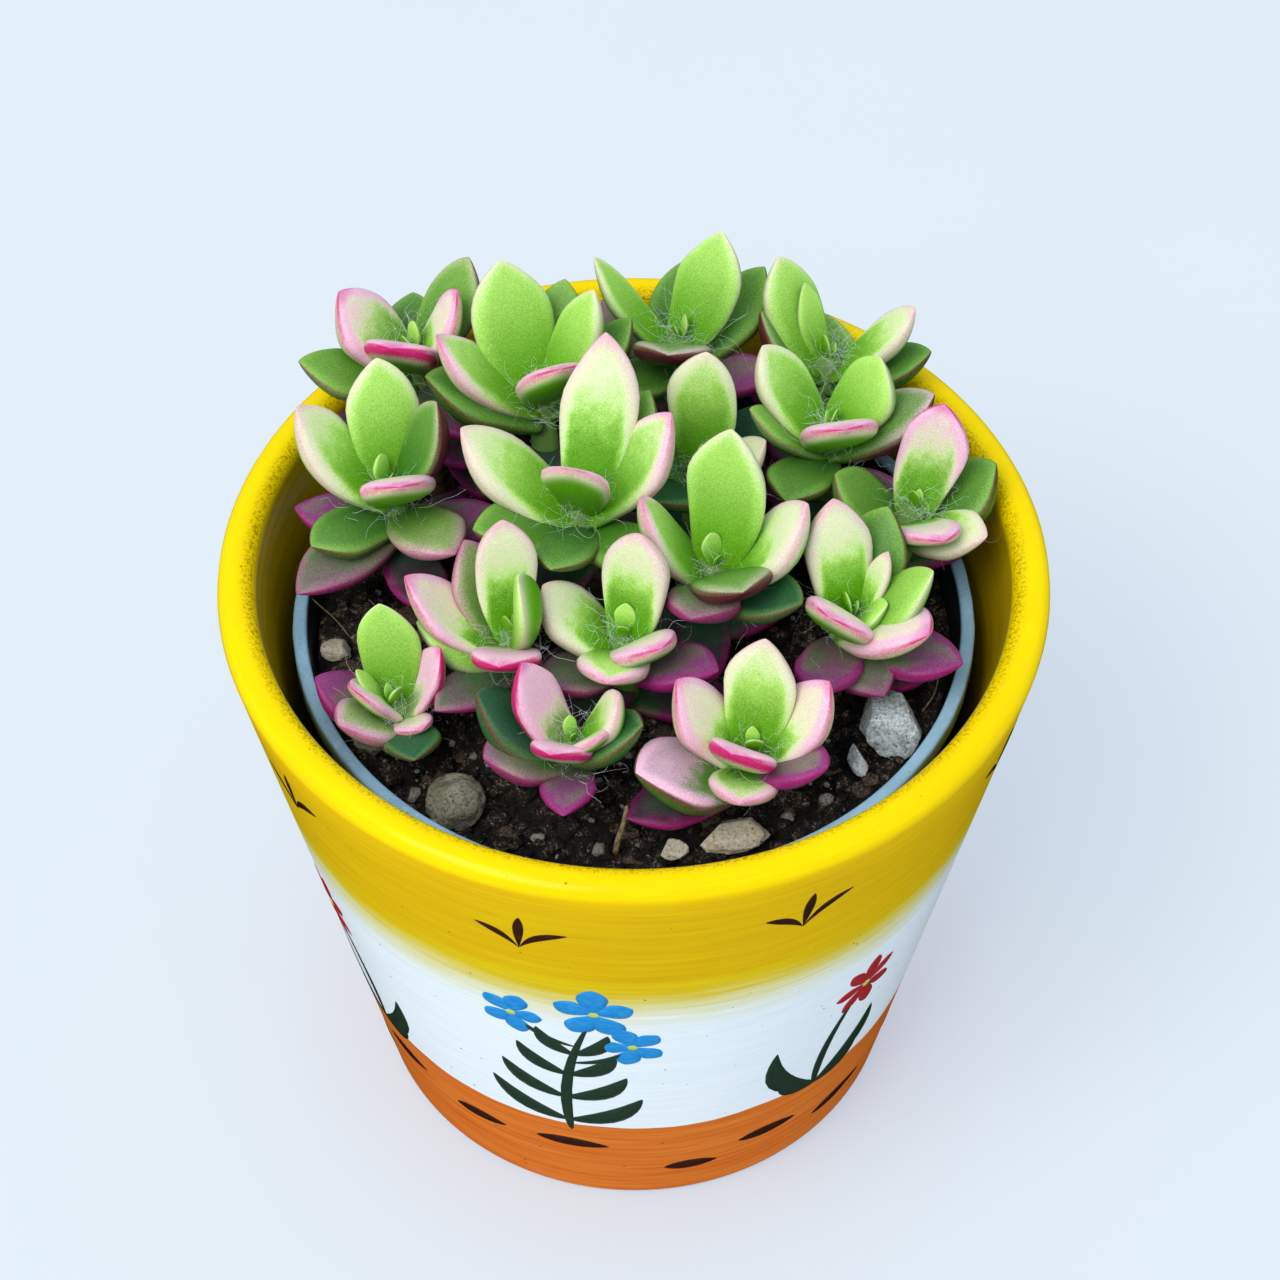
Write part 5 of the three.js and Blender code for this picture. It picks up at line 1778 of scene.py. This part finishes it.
def pale_floor(stage):
    """A wide pale floor, a little clouded, with a faint light of its own"""
    bm = bmesh.new()
    bmesh.ops.create_grid(bm, x_segments=1, y_segments=1, size=FLOOR_HALF)
    mesh = bpy.data.meshes.new("floor")
    bm.to_mesh(mesh)
    bm.free()
    finish = Finish(
        "pale_floor", roughness=0.8, Emission_Color=stage.floor_glow, Emission_Strength=1
    )
    shade = finish.cloud(finish.place(), 90 * MM, 2) * 0.4
    mesh.materials.append(finish.paint(finish.blend(shade, stage.floor, linear(157, 163, 162))))
    floor = bpy.data.objects.new("floor", mesh)
    # Only the lamp is mirrored in the varnish and the leaves
    floor.visible_glossy = False
    bpy.context.scene.collection.objects.link(floor)


def pale_sky(stage):
    """Even light from all round, which isn't mirrored"""
    world = bpy.data.worlds.new("sky")
    world.use_nodes = True
    sky = world.node_tree.nodes["Background"]
    sky.inputs["Color"].default_value = (*stage.sky, 1)
    sky.inputs["Strength"].default_value = stage.sky_strength
    world.cycles_visibility.glossy = False
    bpy.context.scene.world = world


def lamp(name, power, place, width, aim, rgb):
    """A square soft lamp that shines on a point"""
    data = bpy.data.lights.new(name, "AREA")
    data.energy = power
    data.size = width
    data.color = rgb
    light = bpy.data.objects.new(name, data)
    light.location = place
    light.rotation_mode = "QUATERNION"
    light.rotation_quaternion = (Vector(aim) - Vector(place)).to_track_quat("-Z", "Y")
    bpy.context.scene.collection.objects.link(light)


def camera(stage, aim):
    """The camera, which looks down on the plant from the front"""
    data = bpy.data.cameras.new("camera")
    data.lens = stage.lens
    data.sensor_width = SENSOR_WIDTH
    data.clip_start, data.clip_end = NEAREST, FARTHEST
    eye = bpy.data.objects.new("camera", data)
    back = Vector((0, -math.cos(stage.elevation), math.sin(stage.elevation)))
    eye.location = aim + back * stage.distance
    eye.rotation_mode = "QUATERNION"
    eye.rotation_quaternion = (-back).to_track_quat("-Z", "Y")
    bpy.context.scene.collection.objects.link(eye)
    bpy.context.scene.camera = eye


class SANDROSE_OT_stage(bpy.types.Operator):
    """Set the pale floor, the soft light and the camera"""

    bl_idname = "sand_rose.stage"
    bl_label = "Stage"

    def execute(self, context):
        stage = context.scene.sand_rose.stage
        aim = Vector((stage.aim_x, 0, stage.aim_z))
        pale_floor(stage)
        pale_sky(stage)
        lamp("key", stage.key_power, KEY_PLACE, KEY_WIDTH, aim, KEY_TINT)
        camera(stage, aim)
        context.scene.view_settings.view_transform = "Standard"
        return {"FINISHED"}


# Add-on


class SANDROSE_PT_panel(bpy.types.Panel):
    """Sizes, colours and the steps that build the plant"""

    bl_idname = "SANDROSE_PT_panel"
    bl_label = "Sand Rose"
    bl_space_type = "VIEW_3D"
    bl_region_type = "UI"
    bl_category = "Sand Rose"

    def draw(self, context):
        settings = context.scene.sand_rose
        for operator, group in STEPS:
            box = self.layout.box()
            box.operator(operator.bl_idname)
            chosen = getattr(settings, group)
            for name in chosen.bl_rna.properties.keys():
                if name not in ("rna_type", "name"):
                    box.prop(chosen, name)


# The steps in the order they are run, with the settings that the panel shows for each
STEPS = [
    (SANDROSE_OT_clay_pot, "pot"),
    (SANDROSE_OT_painting, "painting"),
    (SANDROSE_OT_nursery_pot, "nursery"),
    (SANDROSE_OT_soil, "soil"),
    (SANDROSE_OT_stones, "stones"),
    (SANDROSE_OT_rosettes, "leaves"),
    (SANDROSE_OT_hairs, "hairs"),
    (SANDROSE_OT_stage, "stage"),
]
GROUPS = [
    ClayPotSettings, PaintingSettings, NurseryPotSettings, SoilSettings, StoneSettings,
    LeafSettings, HairSettings, StageSettings, SandRoseSettings,
]


def register():
    """Adds the classes, and the settings to every scene"""
    for kind in (*GROUPS, *(step[0] for step in STEPS), SANDROSE_PT_panel):
        bpy.utils.register_class(kind)
    bpy.types.Scene.sand_rose = PointerProperty(type=SandRoseSettings)


def unregister():
    """Takes the settings and the classes away again"""
    del bpy.types.Scene.sand_rose
    for kind in (SANDROSE_PT_panel, *(step[0] for step in reversed(STEPS)), *reversed(GROUPS)):
        bpy.utils.unregister_class(kind)


def main():
    """Builds every piece and the stage"""
    register()
    for operator, _ in STEPS:
        group, step = operator.bl_idname.split(".")
        getattr(getattr(bpy.ops, group), step)()


if __name__ == "__main__":
    main()
